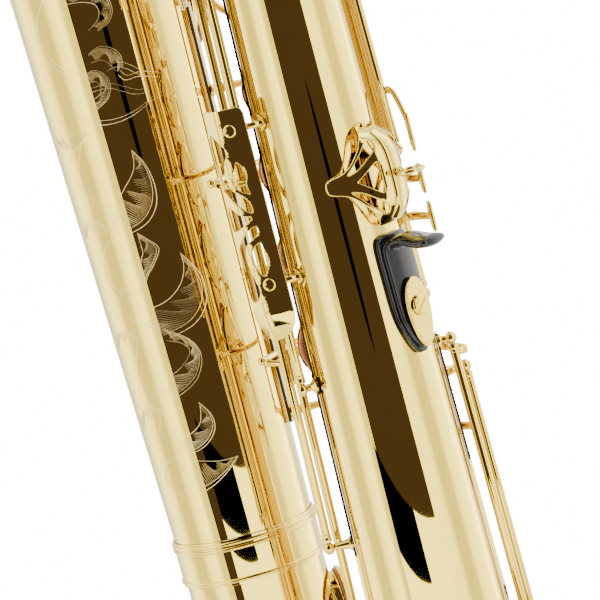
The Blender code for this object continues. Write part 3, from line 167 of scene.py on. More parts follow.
def bow_centre(turn: float) -> Vector:
    """Point on the bottom bow's centre line, turned from the body's side.

    Args:
        turn: angle from the body's side.

    Returns:
        The point.
    """
    angle = math.radians(turn)
    reach = SIZE.bow_radius
    return Vector((-reach * (1.0 - math.cos(angle)), 0.0, SIZE.bow_level - reach * math.sin(angle)))


def frame_at(point: Vector, direction: Vector) -> Matrix:
    """Matrix that stands on a point with its Z axis along a direction."""
    return Matrix.Translation(point) @ direction.to_track_quat("Z", "Y").to_matrix().to_4x4()


def curve_through(line: list[Vector], steps: int) -> list[Vector]:
    """Catmull-Rom curve through all but the first and last of a line's points.

    Args:
        line: the points, with one more at each end that only steers the curve.
        steps: stretches between two of them.

    Returns:
        The points of the curve, without its last one.
    """
    route = []
    for a, b, c, d in zip(line, line[1:], line[2:], line[3:]):
        for step in range(steps):
            t = step / steps
            route.append(0.5 * (2.0 * b + (c - a) * t + (2.0 * a - 5.0 * b + 4.0 * c - d) * t * t
                                + (3.0 * b - a - 3.0 * c + d) * t * t * t))
    return route


def smooth_route(points: list[Vector], steps: int = 6) -> list[Vector]:
    """Smooth curve through points.

    Args:
        points: the points that the curve passes through.
        steps: stretches between two of them.

    Returns:
        The points of the curve.
    """
    if len(points) < 3:
        return list(points)
    line = [points[0] * 2.0 - points[1], *points, points[-1] * 2.0 - points[-2]]
    return [*curve_through(line, steps), points[-1]]


def linked(name: str, data: bpy.types.ID) -> bpy.types.Object:
    """Makes an object of some data and links it to the scene.

    Args:
        name: the object's name.
        data: its mesh, curve, lamp or camera.

    Returns:
        The object.
    """
    obj = bpy.data.objects.new(name, data)
    bpy.context.scene.collection.objects.link(obj)
    return obj


def as_mesh(shape: bmesh.types.BMesh, name: str) -> bpy.types.Mesh:
    """Writes a shape into a mesh and frees it.

    Args:
        shape: the shape.
        name: the mesh's name.

    Returns:
        The mesh.
    """
    mesh = bpy.data.meshes.new(name)
    shape.to_mesh(mesh)
    shape.free()
    return mesh


# ---------------------------------------------------------------- finishes

class Socket:
    """Wraps a node's output so that shader maths reads as Python expressions."""

    def __init__(self, tree: bpy.types.NodeTree, link: bpy.types.NodeSocket) -> None:
        """Wraps one output of a tree.

        Args:
            tree: the node tree.
            link: the output that is wrapped.
        """
        self.tree = tree
        self.link = link

    def do(self, operation: str, other: Socket | float = 0.0, swapped: bool = False) -> Socket:
        """Adds a Math node.

        Args:
            operation: what it does.
            other: the value that it works on besides this one.
            swapped: whether the other value comes first.

        Returns:
            Its result.
        """
        node = self.tree.nodes.new("ShaderNodeMath")
        node.operation = operation
        for socket, value in zip(node.inputs, (other, self) if swapped else (self, other)):
            if isinstance(value, Socket):
                self.tree.links.new(value.link, socket)
            else:
                socket.default_value = value
        return Socket(self.tree, node.outputs[0])

    def __add__(self, other: Socket | float) -> Socket:
        """Sum."""
        return self.do("ADD", other)

    def __radd__(self, other: float) -> Socket:
        """Sum with a number in front."""
        return self.do("ADD", other, True)

    def __sub__(self, other: Socket | float) -> Socket:
        """Difference."""
        return self.do("SUBTRACT", other)

    def __rsub__(self, other: float) -> Socket:
        """Difference from a number."""
        return self.do("SUBTRACT", other, True)

    def __mul__(self, other: Socket | float) -> Socket:
        """Product."""
        return self.do("MULTIPLY", other)

    def __truediv__(self, other: Socket | float) -> Socket:
        """Quotient."""
        return self.do("DIVIDE", other)

    def inside(self, low: float, high: float) -> Socket:
        """One where the value lies between two others, else nought."""
        return self.do("GREATER_THAN", low) * self.do("LESS_THAN", high)


class Shader:
    """Node tree of one material with a Principled shader."""

    def __init__(self, name: str, **constants: float | tuple) -> None:
        """Makes a material with fixed values on its shader.

        Args:
            name: its name.
            constants: fixed values of the Principled shader, with _ for a space.
        """
        self.material = bpy.data.materials.new(name)
        self.material.use_nodes = True
        self.tree = self.material.node_tree
        self.principled = self.tree.nodes["Principled BSDF"]
        for key, value in constants.items():
            self.principled.inputs[key.replace("_", " ")].default_value = value

    def add(self, kind: str, settings: dict | None = None, output: int | str = 0,
            **inputs: object) -> Socket:
        """Adds a node.

        Args:
            kind: the node's type.
            settings: its own settings, set before its sockets.
            output: the output that is wanted.
            inputs: values or sockets for its inputs, with _ for a space.

        Returns:
            The wanted output.
        """
        node = self.tree.nodes.new(kind)
        for key, value in (settings or {}).items():
            setattr(node, key, value)
        for key, value in inputs.items():
            name = key.replace("_", " ")
            by_number = name[0] == "i" and name[1:].isdigit()
            socket = node.inputs[int(name[1:]) if by_number else name]
            if isinstance(value, Socket):
                self.tree.links.new(value.link, socket)
            else:
                socket.default_value = value
        return Socket(self.tree, node.outputs[output])

    def feed(self, name: str, source: Socket) -> None:
        """Links a socket to one of the Principled shader's inputs."""
        self.tree.links.new(source.link, self.principled.inputs[name])

    def place(self, scale: tuple[float, float, float] = (1.0, 1.0, 1.0)) -> Socket:
        """Object coordinates, stretched along each axis."""
        coordinates = self.add("ShaderNodeTexCoord", output="Object")
        return self.add("ShaderNodeMapping", Vector=coordinates, Scale=scale)


@dataclass(frozen=True)
class Brass:
    """Polished brass under clear lacquer."""

    name: str
    colour: tuple[float, float, float]
    roughness: float
    grain: tuple[float, float, float] = (1.0, 1.0, 0.12)
    wave: float = 0.00001

    def make(self) -> bpy.types.Material:
        """Builds the material: fine polishing lines, faint cloudiness and slow waves in the sheet.

        Returns:
            The material.
        """
        shader = Shader(self.name, Metallic=1.0, IOR=1.5)
        fine = shader.add("ShaderNodeTexNoise", Vector=shader.place(self.grain), Scale=2600.0, Detail=3.0)
        cloud = shader.add("ShaderNodeTexNoise", Vector=shader.place(), Scale=38.0, Detail=4.0)
        shader.feed("Roughness", self.roughness + (fine - 0.5) * 0.012 + (cloud - 0.5) * 0.012)
        deep = tuple(value * 0.9 for value in self.colour)
        tone = shader.add("ShaderNodeMix", {"data_type": "RGBA"}, output=2, Factor=cloud,
                          i6=(*deep, 1.0), i7=(*self.colour, 1.0))
        shader.feed("Base Color", tone)
        waves = shader.add("ShaderNodeTexNoise", Vector=shader.place(), Scale=26.0, Detail=1.0)
        bump = shader.add("ShaderNodeBump", Strength=0.5, Distance=self.wave, Height=waves)
        shader.feed("Normal", bump)
        return shader.material


@dataclass(frozen=True)
class Plain:
    """A non-metal or dull metal with a fine grain of its own."""

    name: str
    dark: tuple[float, float, float]
    light: tuple[float, float, float]
    roughness: float
    scale: float
    metallic: float = 0.0
    coat: float = 0.0
    bump: float = 0.1
    shine: float = 0.3
    stretch: tuple[float, float, float] = (1.0, 1.0, 1.0)

    def make(self) -> bpy.types.Material:
        """Builds the material from a stretched noise that drives colour, gloss and relief.

        Returns:
            The material.
        """
        shader = Shader(self.name, Metallic=self.metallic, Coat_Weight=self.coat, Coat_Roughness=0.04,
                        Specular_IOR_Level=self.shine)
        grain = shader.add("ShaderNodeTexNoise", Vector=shader.place(self.stretch), Scale=self.scale,
                           Detail=5.0)
        tone = shader.add("ShaderNodeMix", {"data_type": "RGBA"}, output=2, Factor=grain,
                          i6=(*self.dark, 1.0), i7=(*self.light, 1.0))
        shader.feed("Base Color", tone)
        shader.feed("Roughness", self.roughness + (grain - 0.5) * 0.12)
        shader.feed("Normal", shader.add("ShaderNodeBump", Strength=self.bump, Distance=0.0002,
                                         Height=grain))
        return shader.material


class Finish(Enum):
    """The finishes of the instrument's pieces."""

    BODY = Brass("body_brass", (0.74, 0.56, 0.075), 0.025)
    KEY = Brass("key_brass", (0.70, 0.51, 0.06), 0.045, (1.0, 1.0, 1.0))
    CUT = Brass("engraved_brass", (0.9, 0.74, 0.34), 0.4)
    STEEL = Plain("blued_steel", (0.10, 0.11, 0.14), (0.2, 0.21, 0.25), 0.28, 300.0, 1.0)
    HOOK = Plain("black_hook", (0.003, 0.003, 0.004), (0.008, 0.008, 0.009), 0.13, 60.0, 0.0, 0.0, 0.02)
    EBONITE = Plain("ebonite", (0.008, 0.008, 0.009), (0.02, 0.02, 0.02), 0.22, 90.0, 0.0, 0.2, 0.04)
    PAD = Plain("pad_leather", (0.34, 0.12, 0.06), (0.48, 0.2, 0.1), 0.6, 500.0, 0.0, 0.0, 0.3)
    FELT = Plain("red_felt", (0.16, 0.012, 0.012), (0.3, 0.03, 0.03), 0.95, 1400.0, 0.0, 0.0, 0.5)
    CORK = Plain("cork", (0.32, 0.17, 0.07), (0.62, 0.42, 0.22), 0.85, 420.0, 0.0, 0.0, 0.5)
    CANE = Plain("cane", (0.66, 0.47, 0.2), (0.87, 0.72, 0.42), 0.5, 260.0, 0.0, 0.0, 0.2, 0.3,
                 (0.1, 1.0, 1.0))
    PEARL = Plain("pearl", (0.72, 0.7, 0.66), (0.95, 0.93, 0.9), 0.16, 130.0, 0.0, 0.6, 0.02)


MADE: dict[str, bpy.types.Material] = {}


def material(finish: Finish) -> bpy.types.Material:
    """The material of a finish, made once.

    Args:
        finish: the finish that is wanted.

    Returns:
        The material.
    """
    if finish.name not in MADE:
        MADE[finish.name] = finish.value.make()
    return MADE[finish.name]


# ---------------------------------------------------------------- shapes

class Piece:
    """One visible piece that gathers bmesh shapes before it is finished."""

    def __init__(self, name: str, finish: Finish, body: str = INSTRUMENT) -> None:
        """Starts an empty piece.

        Args:
            name: its name.
            finish: its finish.
            body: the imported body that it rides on.
        """
        self.name = name
        self.finish_kind = finish
        self.body = body
        self.shape = bmesh.new()
        self.carving: bmesh.types.BMesh | None = None

    def take(self, part: bmesh.types.BMesh, place: Matrix | None = None) -> None:
        """Adds a finished small shape, moved to its place, and frees it.

        Args:
            part: the shape to add; it is freed.
            place: where it goes.
        """
        bmesh.ops.recalc_face_normals(part, faces=part.faces)
        if place is not None:
            part.transform(place)
        mesh = as_mesh(part, "part")
        self.shape.from_mesh(mesh)
        bpy.data.meshes.remove(mesh)

    def rod(self, start: Vector, end: Vector, radius: float, end_radius: float | None = None,
            sides: int = 28, round_edge: float = 0.25) -> None:
        """Cylinder or cone between two points, with softened edges.

        Args:
            start: one end.
            end: the other end.
            radius: its radius.
            end_radius: radius of the other end, where it tapers.
            sides: number of sides.
            round_edge: size of the softened edges.
        """
        axis = end - start
        part = bmesh.new()
        bmesh.ops.create_cone(part, cap_ends=True, segments=sides, radius1=radius,
                              radius2=radius if end_radius is None else end_radius, depth=axis.length,
                              matrix=frame_at((start + end) / 2.0, axis))
        if round_edge:
            rims = [edge for edge in part.edges if any(len(face.verts) > 4 for face in edge.link_faces)]
            bmesh.ops.bevel(part, geom=rims, offset=round_edge, offset_type="OFFSET", segments=2,
                            profile=0.5,
                            affect="EDGES", material=-1)
        self.take(part)

    def ball(self, centre: Vector, radii: tuple[float, float, float], sides: int = 24) -> None:
        """Sphere or ellipsoid.

        Args:
            centre: its middle.
            radii: its three half axes.
            sides: number of sides.
        """
        part = bmesh.new()
        bmesh.ops.create_uvsphere(part, u_segments=sides, v_segments=sides // 2, radius=1.0)
        self.take(part, Matrix.Translation(centre) @ Matrix.Diagonal((*radii, 1.0)))

    def bar(self, start: Vector, end: Vector, width: float, thickness: float, facing: Vector,
            round_edge: float = 0.7) -> None:
        """Flat bar between two points with rounded edges, its thickness along the facing direction.

        Args:
            start: one end.
            end: the other end.
            width: its width.
            thickness: its thickness.
            facing: direction of its thickness.
            round_edge: size of the softened edges.
        """
        along = (end - start).normalized()
        across = facing.cross(along).normalized()
        turn = Matrix((along, across, along.cross(across))).transposed().to_4x4()
        part = bmesh.new()
        bmesh.ops.create_cube(part, size=1.0)
        part.transform(Matrix.Diagonal(((end - start).length, width, thickness, 1.0)))
        if round_edge:
            limit = min(round_edge, 0.45 * width, 0.45 * thickness)
            bmesh.ops.bevel(part, geom=part.edges[:], offset=limit, offset_type="OFFSET", segments=3,
                            profile=0.5, affect="EDGES", material=-1)
        self.take(part, Matrix.Translation((start + end) / 2.0) @ turn)

    def turned(self, profile: Points, place: Matrix, steps: int = 64, closed: bool = True) -> None:
        """Spins a profile of (radius, height) points round the Z axis of its place.

        Args:
            profile: (radius, height) points.
            place: where it goes.
            steps: faces round the axis.
            closed: whether the last point joins the first.
        """
        part = bmesh.new()
        knots = [part.verts.new((radius, 0.0, height)) for radius, height in profile]
        pairs = list(zip(knots, knots[1:]))
        if closed and (profile[0][0] > 0.0 or profile[-1][0] > 0.0):
            pairs.append((knots[-1], knots[0]))
        edges = [part.edges.new(pair) for pair in pairs]
        bmesh.ops.spin(part, geom=knots + edges, cent=(0, 0, 0), axis=(0, 0, 1), angle=math.tau,
                       steps=steps,
                       use_merge=True, use_duplicate=False)
        bmesh.ops.remove_doubles(part, verts=part.verts, dist=0.0001)
        self.take(part, place)

    def sweep(self, points: list[Vector], radii: list[float], sides: int = 14, flat: float = 1.0,
              flat_axis: Vector = UP) -> None:
        """Round or flattened tube along a line of points, made of bridged rings.

        Args:
            points: the centre line.
            radii: the radius at each point.
            sides: corners of each ring.
            flat: thickness over width where the tube is flattened.
            flat_axis: the direction in which it is flat.
        """
        part = bmesh.new()
        loops = []
        side = None
        for index, (point, radius) in enumerate(zip(points, radii)):
            before = points[max(index - 1, 0)]
            after = points[min(index + 1, len(points) - 1)]
            along = (after - before).normalized()
            if flat != 1.0:
                side = flat_axis.cross(along).normalized()
            elif side is None:
                side = along.orthogonal().normalized()
            else:
                side = (side - along * side.dot(along)).normalized()
            turn = Matrix((side, along.cross(side), along)).transposed().to_4x4()
            place = Matrix.Translation(point) @ turn @ Matrix.Diagonal((1.0, flat, 1.0, 1.0))
            ends = index in (0, len(points) - 1)
            ring = bmesh.ops.create_circle(part, cap_ends=ends, segments=sides, radius=radius,
                                           matrix=place)["verts"]
            loops.append([edge for edge in {edge for vert in ring for edge in vert.link_edges}])
        for first, second in zip(loops, loops[1:]):
            bmesh.ops.bridge_loops(part, edges=first + second)
        self.take(part)

    def wire(self, points: list[Vector], radius: float, steps: int = 6, sides: int = 12) -> None:
        """Smooth round wire through points."""
        route = smooth_route(points, steps)
        self.sweep(route, [radius] * len(route), sides)

    def finish(self, replaced: tuple[str, ...] = (), cutters: list[tuple[Vector, Vector, float]] = (),
               angle: float = 38.0) -> bpy.types.Object:
        """Makes the piece an object in metres, in the frame, riding on its body.

        Args:
            replaced: CAD nodes that the piece stands for.
            cutters: round holes to cut, each as its two ends and its radius.
            angle: sharpest turn between two faces that still shade as one surface.

        Returns:
            The finished object.
        """
        mesh = as_mesh(self.shape, self.name)
        if cutters:
            mesh = carved(mesh, drills(cutters))
        if self.carving is not None:
            mesh = carved(mesh, self.carving)
        mesh.name = self.name
        mesh.transform(Matrix.Scale(MM, 4) @ Matrix.Translation(-RING_CENTRE))
        mesh.shade_smooth()
        mesh.set_sharp_from_angle(angle=math.radians(angle))
        mesh.materials.clear()
        mesh.materials.append(material(self.finish_kind))
        obj = linked(self.name, mesh)
        if replaced:
            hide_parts(*replaced)
        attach(obj, self.body)
        LOG.info("%s: %d faces", self.name, len(mesh.polygons))
        return obj


def drills(cutters: list[tuple[Vector, Vector, float]]) -> bmesh.types.BMesh:
    """Round drills, each given by its two ends and its radius.

    Args:
        cutters: each drill's two ends and radius.

    Returns:
        The shape.
    """
    tool = bmesh.new()
    for start, end, radius in cutters:
        bmesh.ops.create_cone(tool, cap_ends=True, segments=48, radius1=radius, radius2=radius,
                              depth=(end - start).length, matrix=frame_at((start + end) / 2.0, end - start))
    return tool


def carved(mesh: bpy.types.Mesh, tool: bmesh.types.BMesh) -> bpy.types.Mesh:
    """Takes a tool's shape out of a mesh.

    Args:
        mesh: the mesh to cut.
        tool: closed shapes to take out; it is freed.

    Returns:
        The cut mesh.
    """
    cutter = linked("tool", as_mesh(tool, "tool"))
    work = linked("work", mesh)
    cut = work.modifiers.new("Cut", "BOOLEAN")
    cut.operation = "DIFFERENCE"
    cut.solver = "EXACT"
    cut.object = cutter
    bpy.context.view_layer.update()
    result = bpy.data.meshes.new_from_object(work.evaluated_get(bpy.context.evaluated_depsgraph_get()))
    for obj in (cutter, work):
        bpy.data.objects.remove(obj)
    return result


def curved_plate(outlines: list[Points], thickness: float, cell: float, bend: Bend,
                 edge: float = 0.35) -> bmesh.types.BMesh:
    """Plate cut to an outline with windows, divided finely and bent to a shape.

    Args:
        outlines: the outer outline, then its windows, as (across, up) points.
        thickness: the plate's thickness.
        cell: size of the squares that it is divided into.
        bend: turns (across, up, depth) into a point, where depth runs through the thickness.
        edge: width of the softened edges.

    Returns:
        The bent plate.
    """
    curve = bpy.data.curves.new("outline", "CURVE")
    curve.dimensions = "2D"
    curve.fill_mode = "BOTH"
    curve.extrude = thickness / 2.0 - edge
    curve.bevel_depth = edge
    curve.bevel_resolution = 2
    curve.offset = -edge
    for outline in outlines:
        spline = curve.splines.new("POLY")
        spline.points.add(len(outline) - 1)
        spline.use_cyclic_u = True
        for knot, (across, up) in zip(spline.points, outline):
            knot.co = (across, up, 0.0, 1.0)
    holder = linked("outline", curve)
    bpy.context.view_layer.update()
    mesh = bpy.data.meshes.new_from_object(holder.evaluated_get(bpy.context.evaluated_depsgraph_get()))
    bpy.data.objects.remove(holder)
    plate = bmesh.new()
    plate.from_mesh(mesh)
    bmesh.ops.remove_doubles(plate, verts=plate.verts, dist=0.002)
    for axis, normal in ((0, (1, 0, 0)), (1, (0, 1, 0))):
        low = min(vert.co[axis] for vert in plate.verts)
        high = max(vert.co[axis] for vert in plate.verts)
        for step in range(1, int((high - low) / cell) + 1):
            point = [0.0, 0.0, 0.0]
            point[axis] = low + cell * step + 0.013
            bmesh.ops.bisect_plane(plate, geom=plate.verts[:] + plate.edges[:] + plate.faces[:],
                                   plane_co=point, plane_no=normal)
    for vert in plate.verts:
        vert.co = bend(*vert.co)
    return plate


def circle_profile(radius: float, wire: float, sides: int) -> Points:
    """Round section of a ring, as (radius, height) points."""
    return [(radius + wire * math.cos(math.tau * step / sides), wire * math.sin(math.tau * step / sides))
            for step in range(sides)]


def mirrored(half: Points) -> Points:
    """Closed outline from one half of it, whose ends lie in the middle."""
    return [*half, *[(-across, up) for across, up in reversed(half[1:-1])]]


def smooth_outline(points: Points, steps: int = 6) -> Points:
    """Smooth closed outline through points."""
    ring = [Vector((across, up, 0.0)) for across, up in points]
    return [(point.x, point.y) for point in curve_through([ring[-1], *ring, ring[0], ring[1]], steps)]


# ---------------------------------------------------------------- keywork

@dataclass(frozen=True)
class Cup:
    """Padded cup over a tone hole: middle of the hole's rim, way out of the tube, and radius."""

    seat: Vector
    normal: Vector
    radius: float

    @property
    def bore(self) -> float:
        """Radius of the tone hole."""
        return self.radius - 3.5

    def raised(self, height: float) -> Vector:
        """Point above the rim's middle."""
        return self.seat + self.normal * height


@dataclass(frozen=True)
class Key:
    """A key: hinge tube, cup, touch and how far it opens at rest."""

    name: str
    low: Vector
    high: Vector
    cup: Cup | None = None
    over: tuple[Vector, ...] = ()
    touch: tuple[Vector, ...] = ()
    touch_size: tuple[float, float, float] = (12.0, 8.0, 3.0)
    extra: tuple[tuple[Vector, ...], ...] = ()
    open_angle: float = 0.0
    pearl: bool = False

    def hinge_point(self, level: float) -> Vector:
        """Point on the hinge line at a level."""
        share = (level - self.low.z) / (self.high.z - self.low.z)
        return self.low.lerp(self.high, min(max(share, 0.02), 0.98))

    def rest_turn(self) -> Matrix:
        """Turn from the closed place to where the key stands at rest.

        Returns:
            The turn about the hinge.
        """
        if not self.open_angle:
            return Matrix.Identity(4)
        axis = (self.high - self.low).normalized()
        lift = axis.cross(self.cup.seat - self.low).dot(self.cup.normal)
        turn = Matrix.Rotation(math.radians(math.copysign(self.open_angle, lift)), 4, axis)
        return Matrix.Translation(self.low) @ turn @ Matrix.Translation(-self.low)


def body_cup(angle: float, level: float, radius: float) -> Cup:
    """Cup over a tone hole in the body tube."""
    return Cup(on_body(angle, SIZE.chimney, level), polar(angle, 1.0, 0.0), radius)


def bell_cup(angle: float, level: float, radius: float) -> Cup:
    """Cup over a tone hole in the bell."""
    return Cup(on_bell(angle, SIZE.chimney, level), bell_out(angle), radius)


@dataclass(frozen=True)
class Line:
    """Hinge line that runs along the body tube."""

    angle: float
    height: float

    def at(self, level: float) -> Vector:
        """Point on the line."""
        return on_body(self.angle, self.height, level)

    def between(self, low: float, high: float) -> tuple[Vector, Vector]:
        """Ends of a tube that fills the room between two posts."""
        room = SIZE.ball + SIZE.gap
        return self.at(low + room), self.at(high - room)


class BellLine(Line):
    """Hinge line of the bell keys, in the gap between bell and body."""

    def at(self, level: float) -> Vector:
        """Point on the line."""
        low, high = Vector((-92.0, 50.0, 300.0)), Vector((-94.0, 54.0, 604.0))
        return low.lerp(high, (level - low.z) / (high.z - low.z))


STACK = Line(124.0, 12.0)
G_SHARP = Line(160.0, 12.0)
SIDE_E = Line(58.0, 9.0)
SIDE_C = Line(68.0, 9.0)
SIDE_B_FLAT = Line(78.0, 9.0)
LOW_E_FLAT = Line(49.0, 9.0)
LOW_C = Line(60.0, 15.0)
LOW_B = Line(220.0, 15.5)
LOW_C_SHARP = Line(207.0, 12.0)
LOW_B_FLAT = Line(236.0, 9.5)
PALM_D = Line(259.0, 9.0)
PALM_E_FLAT = Line(272.0, 9.0)
PALM_F = Line(286.0, 9.0)
OCTAVE = Line(342.0, 10.0)
BELL_HINGE = BellLine(0.0, 0.0)


def arc_route(start: float, end: float, height: float, level: float) -> tuple[Vector, ...]:
    """Points that curl around the body tube at one level."""
    count = max(2, round(abs(end - start) / 14.0))
    return tuple(on_body(start + (end - start) * step / count, height, level) for step in range(count + 1))


def stack_keys() -> list[Key]:
    """Keys of both stacks: name, cup level and radius, room of the tube, opening and pearl level.

    Returns:
        The keys.
    """
    plans = (
        ("g_key", 585.0, 17.0, 576.0, 606.0, 9.0, 596.0), ("a_key", 640.0, 15.0, 608.0, 668.0, 9.0, 664.0),
        ("b_key", 700.0, 13.0, 670.0, 756.0, 9.0, 722.0), ("d_key", 345.0, 23.5, 322.0, 368.0, 10.0, 338.0),
        ("e_key", 400.0, 22.0, 370.0, 424.0, 10.0, 376.0),
        ("f_key", 452.0, 20.5, 426.0, 476.0, 10.0, 430.0),
        ("f_sharp_key", 500.0, 19.0, 478.0, 516.0, 9.0, 0.0),
    )
    keys = []
    for name, level, radius, low, high, opening, pearl in plans:
        touch = (on_body(128.0, 19.0, pearl), on_body(143.0, 23.0, pearl)) if pearl else ()
        keys.append(Key(name, STACK.at(low), STACK.at(high - SIZE.gap), body_cup(162.0, level, radius),
                        touch=touch, open_angle=opening, pearl=bool(pearl)))
    return keys


def right_keys() -> list[Key]:
    """Side keys and the low E flat and low C keys."""
    low_c = Cup(bow_centre(52.0) + Vector((0.0, bow_tube(0.3) + SIZE.chimney, 0.0)), Vector((0, 1, 0)),
                26.0)
    return [
        Key("side_e_key", *SIDE_E.between(450.0, 812.0), body_cup(96.0, 795.0, 12.0), (),
            (on_body(54.0, 14.0, 484.0), on_body(48.0, 17.0, 470.0), on_body(48.0, 17.5, 459.0)),
            (23.0, 9.0, 3.0)),
        Key("side_c_key", *SIDE_C.between(424.0, 672.0), body_cup(96.0, 655.0, 12.0), (),
            (on_body(64.0, 13.5, 431.0), on_body(50.0, 17.0, 431.0)), (18.0, 9.0, 3.0)),
        Key("side_b_flat_key", *SIDE_B_FLAT.between(362.0, 640.0), body_cup(95.0, 622.0, 12.0), (),
            (on_body(72.0, 13.5, 408.0), on_body(50.0, 17.0, 408.0)), (18.0, 9.0, 3.0)),
        Key("low_e_flat_key", *LOW_E_FLAT.between(136.0, 336.0), body_cup(8.0, 157.0, 24.0), (),
            (on_body(52.0, 16.0, 327.0), *arc_route(62.0, 96.0, 15.0, 327.0), on_body(103.0, 17.0, 306.0)),
            (24.0, 13.0, 3.0)),
        Key("low_c_key", *LOW_C.between(146.0, 316.0), low_c, (on_body(62.0, 24.0, 148.0),),
            (*arc_route(66.0, 96.0, 17.0, 276.0), on_body(104.0, 17.0, 278.0)), (24.0, 13.0, 3.0),
            open_angle=8.0),
    ]


def left_keys() -> list[Key]:
    """Little-finger levers, the low C sharp key and the G sharp key.

    Returns:
        The keys.
    """
    out = bell_out(52.0)
    bow_top = Cup(bell_centre(170.0) + out * (bow_tube(0.9) + SIZE.chimney), out, 27.0)
    return [
        Key("low_b_lever", *LOW_B.between(232.0, 605.0),
            touch=(on_body(217.0, 23.0, 572.0), on_body(213.0, 25.0, 572.0)), touch_size=(24.0, 11.0, 3.0),
            extra=((Vector((-60.0, -27.0, 345.0)),),)),
        Key("low_b_flat_lever", *LOW_B_FLAT.between(330.0, 600.0),
            touch=(on_body(234.0, 22.0, 572.0), on_body(231.0, 25.0, 572.0)), touch_size=(24.0, 11.0, 3.0),
            extra=((Vector((-37.0, -42.0, 455.0)), Vector((-50.0, -38.0, 455.0)),
                    Vector((-60.0, -30.0, 455.0))),)),
        Key("low_c_sharp_key", *LOW_C_SHARP.between(158.0, 600.0), bow_top, (),
            (on_body(202.0, 20.0, 584.0), on_body(196.0, 25.0, 584.0)), (24.0, 11.0, 3.0)),
        Key("g_sharp_key", G_SHARP.at(532.0), G_SHARP.at(558.0), body_cup(124.0, 545.0, 15.0), (),
            (on_body(172.0, 17.0, 548.0), on_body(184.0, 23.0, 562.0), on_body(186.0, 25.0, 600.0),
             on_body(200.0, 25.0, 622.0)), (20.0, 16.0, 3.0)),
    ]


def upper_keys() -> list[Key]:
    """Palm keys and the octave lever."""
    return [
        Key("palm_d_key", *PALM_D.between(690.0, 792.0), body_cup(228.0, 782.0, 12.5), (),
            (on_body(276.0, 14.0, 700.0), on_body(290.0, 17.0, 694.0)), (26.0, 11.0, 4.0)),
        Key("palm_e_flat_key", *PALM_E_FLAT.between(730.0, 842.0), body_cup(238.0, 830.0, 11.5), (),
            (on_body(286.0, 14.0, 742.0), on_body(300.0, 17.0, 734.0)), (26.0, 11.0, 4.0)),
        Key("palm_f_key", *PALM_F.between(768.0, 888.0), body_cup(248.0, 876.0, 11.0), (),
            (on_body(296.0, 14.0, 782.0), on_body(310.0, 17.0, 774.0)), (26.0, 11.0, 4.0)),
        Key("octave_lever", *OCTAVE.between(592.0, 702.0), body_cup(12.0, 690.0, 6.5), (),
            (on_body(346.0, 15.0, 640.0), on_body(2.0, 15.0, 640.0)), (20.0, 12.0, 2.6)),
    ]


def bell_keys() -> list[Key]:
    """The large keys on the bell, which stand open."""
    plans = (("low_b_key", 300.0, 388.0, 330.0, 30.0, ((Vector((-64.0, -19.0, 345.0)),),)),
             ("low_b_flat_key", 388.0, 502.0, 440.0, 31.0, ((Vector((-64.0, -22.0, 455.0)),),)),
             ("low_a_key", 502.0, 604.0, 557.0, 33.0, ()))
    return [Key(name, *BELL_HINGE.between(low, high), bell_cup(95.0, level, radius), extra=extra,
                open_angle=5.5)
            for name, low, high, level, radius, extra in plans]


